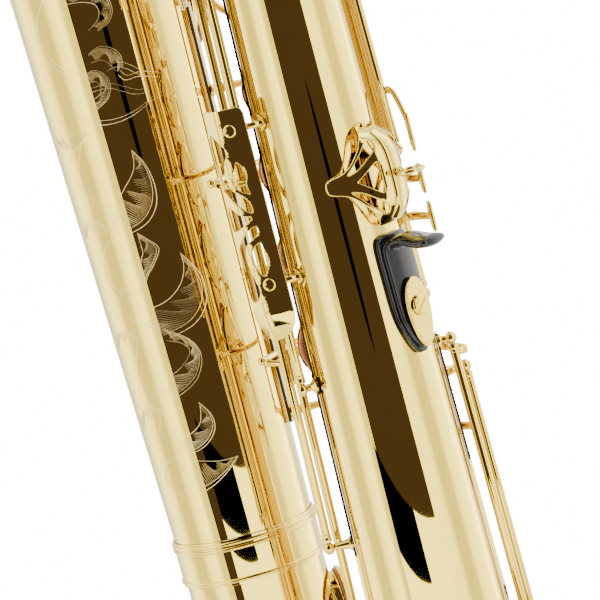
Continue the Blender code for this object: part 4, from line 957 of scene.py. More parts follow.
class KeyMaker:
    """Makes the metal, pad with its resonator, and pearl of a key."""

    pad_depth: float = 4.2
    dome: float = 1.6

    def make(self, key: Key) -> None:
        """Builds one key with all its pieces.

        Args:
            key: the key to build.
        """
        turn = key.rest_turn()
        metal = Piece(key.name, Finish.KEY, key.name)
        self._tube(metal, key)
        if key.cup:
            self._cup(metal, key)
        if key.touch:
            self._touch(metal, key)
        for route in key.extra:
            metal.wire([key.hinge_point(route[0].z), *route], 1.7)
            metal.ball(route[-1], (2.6, 2.6, 2.6), 18)
        metal.shape.transform(turn)
        metal.finish((key.name,))
        if key.cup:
            self._pad(key, turn)
        if key.pearl:
            self._pearl(key, turn)

    def _tube(self, metal: Piece, key: Key) -> None:
        """Hinge tube with a collar at each end.

        Args:
            metal: the key's metal, which the shape joins.
            key: the key to build.
        """
        line = (key.high - key.low).normalized()
        metal.rod(key.low, key.high, SIZE.tube - 0.25)
        for end, way in ((key.low, 1.0), (key.high, -1.0)):
            metal.rod(end, end + line * way * 3.0, SIZE.tube)
            metal.rod(end + line * way * 4.0, end + line * way * 4.8, SIZE.tube)

    def _cup(self, metal: Piece, key: Key) -> None:
        """Cup with a rolled edge and a stepped dome, and the arm that carries it.

        Args:
            metal: the key's metal, which the shape joins.
            key: the key to build.
        """
        cup = key.cup
        radius = cup.radius
        top = self.pad_depth + self.dome
        profile = [(0.0, top), (radius * 0.2, top), (radius * 0.22, top - 0.35), (radius * 0.6, top - 0.45),
                   (radius * 0.64, top - 0.1), (radius * 0.7, top - 0.15), (radius * 0.74, top - 0.6),
                   (radius - 1.2, self.pad_depth), (radius - 0.35, self.pad_depth - 0.5),
                   (radius, self.pad_depth - 1.2), (radius, 1.7), (radius - 0.6, 1.5), (radius - 0.7, 3.0),
                   (0.0, 3.0)]
        metal.turned(profile, frame_at(cup.raised(SIZE.gap), cup.normal), 56)
        root = key.hinge_point(key.over[0].z + 12.0 if key.over else cup.seat.z)
        middle = cup.raised(top)
        sideways = (key.over[-1] if key.over else root) - middle
        sideways = (sideways - cup.normal * sideways.dot(cup.normal)).normalized()
        crest = middle + sideways * radius * 0.72 + cup.normal * 1.9
        tip = middle - sideways * radius * 0.3 + cup.normal * 0.1
        route = smooth_route([root, *key.over, crest, middle + cup.normal * 0.5, tip], 7)
        count = len(route) - 1
        radii = [2.3 - 0.8 * index / count for index in range(count + 1)]
        metal.sweep(route, radii, 14)
        metal.rod(middle, middle + cup.normal * 2.0, 2.6)

    def _touch(self, metal: Piece, key: Key) -> None:
        """Arm to the touch, and the touch plate or the pearl's holder.

        Args:
            metal: the key's metal, which the shape joins.
            key: the key to build.
        """
        route = smooth_route([key.hinge_point(key.touch[0].z), *key.touch], 6)
        count = len(route) - 1
        facing = polar(math.degrees(math.atan2(key.touch[-1].y, key.touch[-1].x)), 1.0, 0.0)
        metal.sweep(route, [2.1 + 0.6 * math.sin(math.pi * index / count) for index in range(count + 1)],
                    16, 0.62, facing)
        end = key.touch[-1]
        out = Vector((end.x, end.y, 0.0)).normalized()
        length, width, thickness = key.touch_size
        if key.pearl:
            metal.turned([(0.0, 0.6), (6.6, 0.6), (6.7, 2.0), (7.6, 2.2), (8.0, 1.7), (7.9, 0.0),
                          (5.4, -1.4), (0.0, -1.4)],
                         frame_at(end, out), 48)
            return
        half = UP * (length / 2.0)
        metal.bar(end - half, end + half, width, thickness * 0.72, out, 1.0)
        metal.bar(end - half * 0.78, end + half * 0.78, width * 0.7, thickness, out, 1.3)

    def _pad(self, key: Key, turn: Matrix) -> None:
        """Leather pad with a brass resonator and its rivet.

        Args:
            key: the key to build.
            turn: turn to the place at rest.
        """
        cup = key.cup
        radius = cup.radius - 0.9
        place = frame_at(cup.raised(SIZE.gap), cup.normal)
        pad = [(0.0, 3.1), (radius, 3.1), (radius, 0.9), (radius - 0.5, 0.25), (radius - 1.6, 0.0),
               (cup.bore + 0.4, 0.05), (cup.bore, 0.35), (cup.bore - 0.6, 0.1), (0.0, 0.1)]
        self._round("pad", Finish.PAD, key, turn, pad, place, 48)
        reach = cup.bore * 0.62
        disc = [(0.0, 0.3), (reach, 0.3), (reach, -0.1), (reach * 0.92, -0.35), (reach * 0.3, -0.9),
                (reach * 0.16, -0.9), (reach * 0.12, -1.3), (0.0, -1.4)]
        self._round("resonator", Finish.KEY, key, turn, disc, place, 36)

    def _pearl(self, key: Key, turn: Matrix) -> None:
        """Mother-of-pearl button in its holder.

        Args:
            key: the key to build.
            turn: turn to the place at rest.
        """
        end = key.touch[-1]
        out = Vector((end.x, end.y, 0.0)).normalized()
        self._round("pearl", Finish.PEARL, key, turn,
                    [(0.0, 1.5), (3.0, 1.7), (5.6, 2.1), (6.4, 1.9), (6.5, 0.7), (0.0, 0.7)],
                    frame_at(end, out), 48)

    def _round(self, name: str, finish: Finish, key: Key, turn: Matrix, profile: Points, place: Matrix,
               steps: int) -> None:
        """Turned piece that rides on a key.

        Args:
            name: what it is.
            finish: its finish.
            key: the key.
            turn: the key's turn to its place at rest.
            profile: its (radius, height) points.
            place: where it sits on the closed key.
            steps: faces round it.
        """
        piece = Piece(f"{key.name}_{name}", finish, key.name)
        piece.turned(profile, place, steps)
        piece.shape.transform(turn)
        piece.finish()


# ---------------------------------------------------------------- posts and ribs

@dataclass
class Ribs:
    """Plates on the tubes with the posts that carry the keys."""

    cross_lift: float = 0.45
    cross_thickness: float = 1.6
    half_height: float = 5.0
    plans: tuple = (
        ("side_rib", (64.0, 72.0), (354.0, 821.0),
         (((53.0, 73.0), 450.0), ((53.0, 73.0), 812.0), ((63.0, 83.0), 362.0), ((63.0, 83.0), 640.0)),
         ((SIDE_E, (450.0, 812.0), 58.0), (SIDE_C, (424.0, 672.0), 68.0),
          (SIDE_B_FLAT, (362.0, 640.0), 78.0))),
        ("low_key_rib", (45.0, 64.0), (130.0, 341.0), (),
         ((LOW_E_FLAT, (336.0, 136.0), 49.0), (LOW_C, (316.0, 146.0), 60.0))),
        ("left_rib", (217.0, 225.0), (150.0, 612.0),
         (((202.0, 241.0), 600.0), ((216.0, 241.0), 330.0), ((202.0, 226.0), 158.0)),
         ((LOW_B, (605.0, 232.0), 220.0), (LOW_B_FLAT, (600.0, 330.0), 236.0),
          (LOW_C_SHARP, (600.0, 158.0), 207.0))),
    )

    def plate(self, piece: Piece, surface: Bend, angles: tuple[float, float], levels: tuple[float, float],
              lift: float = 0.3, thickness: float = 1.4, rows: int = 1) -> None:
        """Curved plate that lies just above a tube.

        Args:
            piece: the piece that it joins.
            surface: gives a point from angle, height and level.
            angles: its two sides.
            levels: its two ends.
            lift: its height above the tube.
            thickness: its thickness.
            rows: divisions along the tube.
        """
        columns = max(4, round(abs(angles[1] - angles[0]) / 1.5))
        part = bmesh.new()
        bmesh.ops.create_grid(part, x_segments=columns, y_segments=max(rows, 1), size=0.5)
        flat = set(part.verts)
        bmesh.ops.solidify(part, geom=part.faces[:], thickness=-1.0)
        for vert in part.verts:
            angle = angles[0] + (vert.co.x + 0.5) * (angles[1] - angles[0])
            level = levels[0] + (vert.co.y + 0.5) * (levels[1] - levels[0])
            height = lift if vert in flat else lift + thickness
            vert.co = surface(angle, height, level)
        piece.take(part)

    def post(self, piece: Piece, foot: Vector, head: Vector, line: Vector) -> None:
        """Turned post: round foot, waisted stem with a ring, and a ball with its pivot screw.

        Args:
            piece: the piece that it joins.
            foot: where it stands.
            head: middle of its ball.
            line: direction of its hinge.
        """
        up = head - foot
        height = up.length
        ball = SIZE.ball
        profile = [(0.0, height - 1.0), (1.9, height - 2.0), (1.9, height - ball + 0.4),
                   (2.5, height - ball),
                   (2.5, height - ball - 0.6), (2.05, height - ball - 1.0), (3.2, 2.2), (3.9, 1.6),
                   (4.4, 1.0),
                   (4.4, 0.3), (4.1, -0.4), (0.0, -0.4)]
        piece.turned(profile, frame_at(foot, up), 28)
        piece.ball(head, (ball, ball, ball), 28)
        for way in (-1.0, 1.0):
            piece.rod(head + line * way * (ball - 1.2), head + line * way * (ball + 0.05), 1.7, sides=20)

    def run(self, piece: Piece, line: Line, levels: tuple[float, ...], foot_angle: float) -> None:
        """Posts of one hinge line over the body tube.

        Args:
            piece: the piece that it joins.
            line: the hinge line.
            levels: level of each post.
            foot_angle: where the posts stand round the tube.
        """
        direction = (line.at(600.0) - line.at(500.0)).normalized()
        for level in levels:
            self.post(piece, on_body(foot_angle, 1.2, level), line.at(level), direction)

    def build(self) -> None:
        """Builds every rib."""
        for name, low, high in (("upper_stack", 572.0, 760.0), ("lower_stack", 318.0, 520.0)):
            rib = Piece(f"{name}_rib", Finish.BODY)
            self.plate(rib, on_body, (117.5, 125.0), (low - 5.0, high + 5.0))
            self.run(rib, STACK, (low, high), 124.0)
            rib.finish((f"{name}_rib",))
            rod = Piece(f"{name}_rod", Finish.STEEL)
            rod.rod(STACK.at(low - 5.4), STACK.at(high + 5.4), 1.45)
            rod.finish((f"{name}_rod",))
        for name, angles, levels, crosses, runs in self.plans:
            rib = Piece(name, Finish.BODY)
            self.plate(rib, on_body, angles, levels)
            for sides, level in crosses:
                self.plate(rib, on_body, sides, (level - self.half_height, level + self.half_height),
                           self.cross_lift, self.cross_thickness)
            for line, stops, foot in runs:
                self.run(rib, line, stops, foot)
            rib.finish((name,))
        rib = Piece("bell_key_rib", Finish.BODY)
        self.plate(rib, on_bell, (30.0, 40.0), (294.0, 610.0), 1.1, 2.0, 24)
        for level in (300.0, 388.0, 502.0, 604.0):
            self.post(rib, on_bell(35.0, 2.3, level), BELL_HINGE.at(level), UP)
        rib.finish(("bell_key_rib",))


# ---------------------------------------------------------------- tubes

@dataclass
class Tubes:
    """Body, bows, bell, pigtail loop and the rings over their joints."""

    top_bow_radius: float = 42.0
    top_bow_level: float = 975.0
    top_bow_end: float = 900.0
    top_bow_end_radius: float = 22.5
    loop_level: float = 860.0
    loop_radius: float = 27.0
    loop_top_radius: float = 17.0
    receiver_level: float = 925.0
    steps: int = 112

    def _walls(self, name: str, cups: list[Cup], trim: float) -> list[tuple[Vector, Vector, float]]:
        """Chimneys as a piece of their own, short enough to end inside the tube's wall.

        Args:
            name: its name.
            cups: the cups whose tone holes belong here.
            trim: depth of the tone hole walls.

        Returns:
            The drills for the holes through the tube.
        """
        holes = []
        piece = Piece(name, Finish.BODY)
        for cup in cups:
            bore = cup.bore
            piece.turned([(bore + 0.5, 0.0), (bore + 1.1, -0.15), (bore + 1.25, -0.6), (bore + 1.1, -1.0),
                          (bore + 1.1, -trim), (bore, -trim), (bore, -0.3)], frame_at(cup.seat, cup.normal),
                          48)
            holes.append((cup.raised(-24.0), cup.raised(2.0), bore + 0.3))
        piece.finish()
        return holes

    def build_body(self, cups: list[Cup]) -> None:
        """Body tube, drilled under its cups, with the upper keys' posts.

        Args:
            cups: the cups whose tone holes belong here.
        """
        low = SIZE.body_bottom + 0.15
        high = SIZE.body_top - 0.15
        holes = self._walls("body_tone_hole_rims", cups, 9.0)
        tube = Piece("body_tube", Finish.BODY)
        levels = [high - (high - low) * step / 24 for step in range(25)]
        outer = [(body_radius(level), level) for level in levels]
        inner = [(body_radius(level) - SIZE.wall, level) for level in reversed(levels)]
        tube.turned([*outer, *inner], Matrix.Identity(4), self.steps)
        tube.finish(("body_tube",), holes)
        posts = Piece("upper_posts", Finish.BODY)
        maker = Ribs()
        for line, stops in ((PALM_D, (690.0, 792.0)), (PALM_E_FLAT, (730.0, 842.0)),
                            (PALM_F, (768.0, 888.0)),
                            (OCTAVE, (592.0, 702.0))):
            direction = (line.at(600.0) - line.at(500.0)).normalized()
            for level in stops:
                maker.post(posts, on_body(line.angle, 0.1, level), line.at(level), direction)
        posts.finish()

    def build_bow(self, cups: list[Cup]) -> None:
        """Bottom bow with two tone holes.

        Args:
            cups: the cups whose tone holes belong here.
        """
        holes = self._walls("bow_tone_hole_rims", cups, 7.0)
        route = [Vector((0.0, 0.0, SIZE.body_bottom - 0.15))]
        steps = 60
        route += [bow_centre((180.0 - SIZE.bell_tilt) * step / steps) for step in range(steps + 1)]
        route += [bell_centre(level) for level in (130.0, 150.0, 170.0, 190.0, 210.0,
                                                   SIZE.bell_joint - 0.15)]
        self._pipe("bottom_bow", route, bow_tube(0.0), bow_tube(1.0), 84, holes)

    def _pipe(self, name: str, route: list[Vector], start: float, end: float, sides: int,
              holes: list = ()) -> None:
        """Bent tube with a real wall.

        Args:
            name: the CAD node that it stands for.
            route: the centre line.
            start: radius at its start.
            end: radius at its end.
            sides: number of sides.
            holes: drills for the tone holes.
        """
        pipe = Piece(name, Finish.BODY)
        part = bmesh.new()
        loops = []
        side = Vector((0.0, 1.0, 0.0)) if abs(route[-1].y - route[0].y) < 1.0 else Vector((1.0, 0.0, 0.0))
        count = len(route) - 1
        for index, point in enumerate(route):
            along = (route[min(index + 1, count)] - route[max(index - 1, 0)]).normalized()
            side = (side - along * side.dot(along)).normalized()
            turn = Matrix((side, along.cross(side), along)).transposed().to_4x4()
            radius = start + (end - start) * index / count
            ring = bmesh.ops.create_circle(part, segments=sides, radius=radius,
                                           matrix=Matrix.Translation(point) @ turn)
            loops.append(list({edge for vert in ring["verts"] for edge in vert.link_edges}))
        for first, second in zip(loops, loops[1:]):
            bmesh.ops.bridge_loops(part, edges=first + second)
        bmesh.ops.recalc_face_normals(part, faces=part.faces)
        inside = sum(face.normal.dot(face.calc_center_median() - nearest(route, face.calc_center_median()))
                     for face in list(part.faces)[:40])
        if inside < 0.0:
            bmesh.ops.reverse_faces(part, faces=part.faces)
        bmesh.ops.solidify(part, geom=part.faces[:], thickness=SIZE.wall)
        pipe.take(part)
        pipe.finish((name,), holes)

    def build_bell(self, cups: list[Cup]) -> None:
        """Bell with its flare, rolled rim and tone holes.

        Args:
            cups: the cups whose tone holes belong here.
        """
        holes = self._walls("bell_tone_hole_rims", cups, 6.0)
        low = SIZE.bell_joint + 0.15
        levels = [SIZE.bell_top - 2.0 - 190.0 * (step / 44) ** 1.3 for step in range(45)]
        levels += [levels[-1] - (levels[-1] - low) * step / 12 for step in range(1, 13)]
        rise = (SIZE.bell_top - BELL_BASE.z) / BELL_AXIS.z
        rim = bell_radius(SIZE.bell_top)
        outer = []
        for step in range(13):
            turn = math.radians(100.0 - 230.0 * step / 12)
            outer.append((rim + 0.1 + 2.2 * math.cos(turn), rise + 0.8 + 2.2 * math.sin(turn)))
        outer += [(bell_radius(level), (level - BELL_BASE.z) / BELL_AXIS.z) for level in levels]
        inner = [(bell_radius(level) - SIZE.wall, (level - BELL_BASE.z) / BELL_AXIS.z)
                 for level in reversed(levels)]
        bell = Piece("bell", Finish.BODY)
        bell.turned([*outer, *inner, (rim - 2.0, rise + 1.2)], frame_at(BELL_BASE, BELL_AXIS), 144)
        bell.finish(("bell",), holes)

    def build_rings(self) -> None:
        """Sleeves with half-round beads over the joints."""
        start = SIZE.body_bottom - 7.0
        inner = body_radius(start) + 1.0
        self._sleeve("body_bow_ring", inner, 13.0, (11.0, 2.0), 0.8, Matrix.Translation((0.0, 0.0, start)))
        start = SIZE.bell_joint - 14.5
        inner = bell_radius(SIZE.bell_joint + 14.0) + 0.4
        self._sleeve("bow_bell_ring", inner, 28.5, (25.8, 22.6, 2.8), 0.75,
                     frame_at(bell_centre(start), BELL_AXIS))

    def _sleeve(self, name: str, inner: float, height: float, beads: tuple[float, ...], wall: float,
                place: Matrix) -> None:
        """One sleeve with its beads, from top to bottom.

        Args:
            name: the CAD node that it stands for.
            inner: inner radius.
            height: its height.
            beads: levels of its beads.
            wall: its wall.
            place: where it goes.
        """
        profile = [(inner, height), (inner + wall - 0.2, height), (inner + wall, height - 0.2)]
        for bead in beads:
            for step in range(9):
                turn = math.radians(90.0 - 180.0 * step / 8)
                profile.append((inner + wall + 1.05 * math.cos(turn), bead + 1.25 * math.sin(turn)))
        profile += [(inner + wall, 0.2), (inner + wall - 0.2, 0.0), (inner, 0.0)]
        sleeve = Piece(name, Finish.BODY)
        sleeve.turned(profile, place, 128)
        sleeve.finish((name,))

    def build_upper(self) -> None:
        """Top bow and pigtail loop."""
        axis_x = -2.0 * self.top_bow_radius
        route = [Vector((0.0, 0.0, SIZE.body_top + 0.15))]
        for step in range(49):
            turn = math.pi * step / 48
            route.append(Vector((-self.top_bow_radius * (1.0 - math.cos(turn)), 0.0,
                                 self.top_bow_level + self.top_bow_radius * math.sin(turn))))
        route += [Vector((axis_x, 0.0, level)) for level in (950.0, 925.0, self.top_bow_end + 0.15)]
        self._pipe("top_bow", route, body_radius(SIZE.body_top), self.top_bow_end_radius, 64)
        route = [Vector((axis_x, 0.0, self.top_bow_end - 0.15)), Vector((axis_x, 0.0, 880.0))]
        for step in range(41):
            turn = math.pi * step / 40
            route.append(Vector((axis_x, -self.loop_radius * (1.0 - math.cos(turn)),
                                 self.loop_level - self.loop_radius * math.sin(turn))))
        route += [Vector((axis_x, -2.0 * self.loop_radius, level))
                  for level in (880.0, 900.0, self.receiver_level - 0.15)]
        self._pipe("pigtail_loop", route, self.top_bow_end_radius, self.loop_top_radius, 56)
        trim = Piece("upper_tube_rings", Finish.BODY)
        for centre, radius in ((Vector((0.0, 0.0, SIZE.body_top)), body_radius(SIZE.body_top)),
                               (Vector((axis_x, 0.0, self.top_bow_end)), self.top_bow_end_radius)):
            profile = [(radius + 0.1, 6.0), (radius + 0.9, 5.8), (radius + 0.9, 3.4), (radius + 1.9, 2.6),
                       (radius + 1.9, 1.2), (radius + 0.9, 0.4), (radius + 0.9, -5.8), (radius + 0.1, -6.0)]
            trim.turned(profile, Matrix.Translation(centre), 64)
        low = Vector((axis_x, -self.loop_radius, self.loop_level - self.loop_radius))
        trim.turned([(3.5, -8.0), (3.5, -22.0), (4.2, -22.4), (4.2, -23.4), (2.0, -23.4), (2.0, -8.0)],
                    Matrix.Translation(low), 32)
        seat = low + Vector((0.0, -13.5, -20.0))
        for side in (-1.0, 1.0):
            ear = seat + Vector((6.0 * side, 0.0, 0.0))
            trim.rod(ear + Vector((0.0, 2.5, 7.5)), ear, 1.6)
            trim.ball(ear, (2.2, 2.2, 2.2), 20)
        trim.finish()


def nearest(route: list[Vector], point: Vector) -> Vector:
    """The point of a route that lies nearest to another point."""
    return min(route, key=lambda knot: (knot - point).length_squared)


# ---------------------------------------------------------------- fittings

@dataclass
class Saddle:
    """Strap saddle on the back of the body, with the strap ring."""

    level: float = 443.0
    height: float = 29.5
    reach: float = 31.0
    crest: float = 18.3
    thickness: float = 1.7
    foot: float = 28.4
    ring_radius: float = 7.5
    ring_wire: float = 1.4

    def bend(self, across: float, up: float, depth: float) -> Vector:
        """Maps the flat saddle onto its four-legged dome.

        Args:
            across: distance from the middle.
            up: height above its middle.
            depth: distance through the plate.

        Returns:
            The point.
        """
        base = body_radius(self.level + up) + 0.4 + self.thickness / 2.0
        side = min(abs(across) / self.reach, 1.0)
        rise = min(abs(up) / self.height, 1.0)
        flare = 0.5 * (1.0 - side) ** 1.15 + 0.5 * (0.5 + 0.5 * math.cos(math.pi * side))
        height = (self.crest - 1.8) * flare * (1.0 - rise ** 4)
        angle = math.degrees(across / body_radius(self.level))
        return polar(angle, base + height + depth, self.level + up)

    def build(self) -> None:
        """Builds the saddle, its crest band, lug and ring."""
        quarter = [(31.0, 0.0), (30.0, 3.4), (27.0, 5.0), (22.0, 6.2), (17.5, 9.6), (13.0, 16.5),
                   (9.8, 23.0),
                   (7.4, 27.5), (5.2, 30.2), (2.4, 31.0)]
        ring = [*quarter, *[(-across, up) for across, up in reversed(quarter)],
                *[(-across, -min(up, self.foot)) for across, up in quarter[1:]],
                *[(across, -min(up, self.foot)) for across, up in reversed(quarter[1:])]]
        windows = []
        for side in (-1.0, 1.0):
            windows.append([(side * across, up) for across, up in
                            ((15.4, 0.0), (13.9, 1.5), (7.6, 8.3), (6.4, 8.5), (5.9, 7.2), (5.9, -7.2),
                             (6.4, -8.5),
                             (7.6, -8.3), (13.9, -1.5))])
            for tilt in (-1.0, 1.0):
                leaf = ((18.8, 5.0), (15.8, 9.4), (12.0, 15.2), (8.4, 20.4), (6.0, 21.6), (5.2, 19.8),
                        (6.0, 15.8),
                        (9.6, 11.8), (14.4, 6.8))
                windows.append([(side * across, tilt * up) for across, up in leaf])
        outlines = [smooth_outline(ring, 4), *[smooth_outline(window, 5) for window in windows]]
        saddle = Piece("strap_saddle", Finish.BODY)
        saddle.take(curved_plate(outlines, self.thickness, 1.5, self.bend, 0.4))
        crest = [self.bend(0.0, up, 0.5) for up in range(-25, 26, 5)]
        saddle.sweep(smooth_route(crest, 4), [4.4] * (4 * 10 + 1), 20, 0.3, Vector((1.0, 0.0, 0.0)))
        eye = RING_CENTRE - Vector((self.ring_radius, 0.0, 0.0))
        saddle.bar(Vector((53.0, 0.0, eye.z)), eye + Vector((0.2, 0.0, 0.0)), 3.4, 5.6, UP, 0.9)
        for side in (-1.0, 1.0):
            saddle.wire([eye + Vector((0.0, 0.0, 2.4 * side)), eye + Vector((1.6, 0.0, 2.1 * side)),
                         eye + Vector((2.4, 0.0, 0.0))], 0.7)
            level = self.level + (29.2 if side > 0.0 else -25.8)
            saddle.ball(Vector((body_radius(level) + 1.6, 0.0, level)), (2.5, 3.0, 2.6), 24)
        saddle.finish(("strap_saddle",))
        ring_piece = Piece("strap_ring", Finish.KEY)
        circle = circle_profile(self.ring_radius, self.ring_wire, 20)
        ring_piece.turned(circle, Matrix.Translation(RING_CENTRE), 56)
        ring_piece.finish(("strap_ring",))


@dataclass
class ThumbHook:
    """Adjustable right thumb hook with its clamp plate and screw."""

    screw_level: float = 365.0
    thickness: float = 6.2
    body: str = "thumb_hook"

    def wrap(self, lift: float) -> Bend:
        """Bend that lays a flat plate around the body tube, lifted by its middle.

        Args:
            lift: height of the plate's middle above the tube.

        Returns:
            The bend for curved_plate.
        """
        def bend(across: float, up: float, depth: float) -> Vector:
            """Point on the bent plate."""
            reach = body_radius(up) + lift + depth
            return polar(math.degrees(across / (body_radius(up) + 3.0)), reach, up)
        return bend

    def build(self) -> None:
        """Builds hook, plate and screw."""
        hook = Piece("thumb_hook", Finish.HOOK, self.body)
        flange = [(0.0, 337.4), (3.6, 338.0), (6.8, 342.0), (9.6, 348.0), (12.2, 356.0), (13.6, 366.0),
                  (13.9, 385.0),
                  (13.9, 400.0), (12.6, 406.0), (9.0, 408.6), (0.0, 408.8)]
        outline = smooth_outline(mirrored(flange), 4)
        hook.take(curved_plate([outline], 3.0, 2.4, self.wrap(0.3 + 1.5), 0.9))
        raised = [(0.0, 340.5), (3.0, 341.2), (6.0, 345.0), (8.6, 351.0), (10.6, 358.0), (11.4, 367.0),
                  (11.5, 385.0),
                  (11.5, 398.0), (10.0, 403.4), (6.0, 405.6), (0.0, 406.0)]
        outline = smooth_outline(mirrored(raised), 4)
        hook.take(curved_plate([outline], self.thickness - 1.0, 2.4,
                               self.wrap(0.8 + (self.thickness - 1.0) / 2.0), 1.1))
        spine = [Vector((reach, 0.0, level)) for reach, level in (
            (37.5, 399.0), (42.0, 403.4), (48.0, 404.6), (54.0, 403.4), (60.0, 402.0), (65.0, 401.6),
            (68.8, 402.0),
            (70.4, 402.3))]
        route = smooth_route(spine, 5)
        count = len(route) - 1
        radii = []
        for index in range(count + 1):
            share = index / count
            tip = math.sqrt(max(0.0, 1.0 - max(0.0, (share - 0.62) / 0.38) ** 2.2))
            radii.append(max(0.6, (9.6 + 2.0 * share) * tip))
        hook.sweep(route, radii, 36, 0.34, UP)
        hook.finish(("thumb_hook",), angle=60.0)
        face = body_radius(self.screw_level) + 0.3 + self.thickness + 0.66
        plate = Piece("thumb_hook_plate", Finish.KEY, self.body)
        egg = []
        for step in range(48):
            turn = math.tau * step / 48
            rise = math.sin(turn)
            egg.append((9.4 * math.cos(turn) * (1.0 + 0.16 * rise), self.screw_level - 4.0 + 20.8 * rise))
        part = curved_plate([egg], 1.5, 3.0, lambda across, up,
                            depth: Vector((face + 0.75 + depth, across, up)), 0.45)
        plate.take(part)
        hole = (Vector((face - 2, 0, self.screw_level)), Vector((face + 4, 0, self.screw_level)), 2.2)
        plate.finish(("thumb_hook_plate",), [hole])
        screw = Piece("thumb_hook_screw", Finish.KEY, "thumb_hook_screw")
        slotted_screw(screw, Vector((face + 1.8, 0.0, self.screw_level)), Vector((1, 0, 0)), 6.0, 2.0, 1,
                      42.0)
        screw.rod(Vector((body_radius(self.screw_level) + 0.7, 0.0, self.screw_level)),
                  Vector((face + 2.2, 0.0, self.screw_level)), 1.8)
        screw.finish(("thumb_hook_screw",))


def slotted_screw(piece: Piece, face: Vector, out: Vector, radius: float, height: float, slots: int,
                  tilt: float) -> None:
    """Flat screw head with one straight slot or a cross cut into it.

    Args:
        piece: where the head goes.
        face: middle of its underside.
        out: direction of its axis.
        radius: its radius.
        height: its height.
        slots: one for a slot, two for a cross.
        tilt: how far the slot is turned.
    """
    piece.turned([(0.0, height), (radius * 0.78, height * 0.99), (radius * 0.82, height * 0.97),
                  (radius * 0.96, height * 0.72), (radius, height * 0.5), (radius, 0.0), (0.0, 0.0)],
                  frame_at(face, out), 56)
    piece.carving = bmesh.new()
    long, thin = radius * (1.2 if slots == 1 else 0.62), radius * 0.12
    if slots == 1:
        outline = ((long, -thin), (long, thin), (-long, thin), (-long, -thin))
    else:
        outline = ((long, -thin), (long, thin), (thin, thin), (thin, long), (-thin, long), (-thin, thin),
                   (-long, thin),
                   (-long, -thin), (-thin, -thin), (-thin, -long), (thin, -long), (thin, -thin))
    place = frame_at(face, out) @ Matrix.Translation((0.0, 0.0,
                                                      height)) @ Matrix.Rotation(math.radians(tilt), 4, "Z")
    low, high = ([piece.carving.verts.new(place @ Vector((across, up, level))) for across, up in outline]
                 for level in (-height * 0.5, height * 0.5))
    piece.carving.faces.new(reversed(low))
    piece.carving.faces.new(high)
    for index in range(len(outline)):
        after = (index + 1) % len(outline)
        piece.carving.faces.new((low[index], low[after], high[after], high[index]))


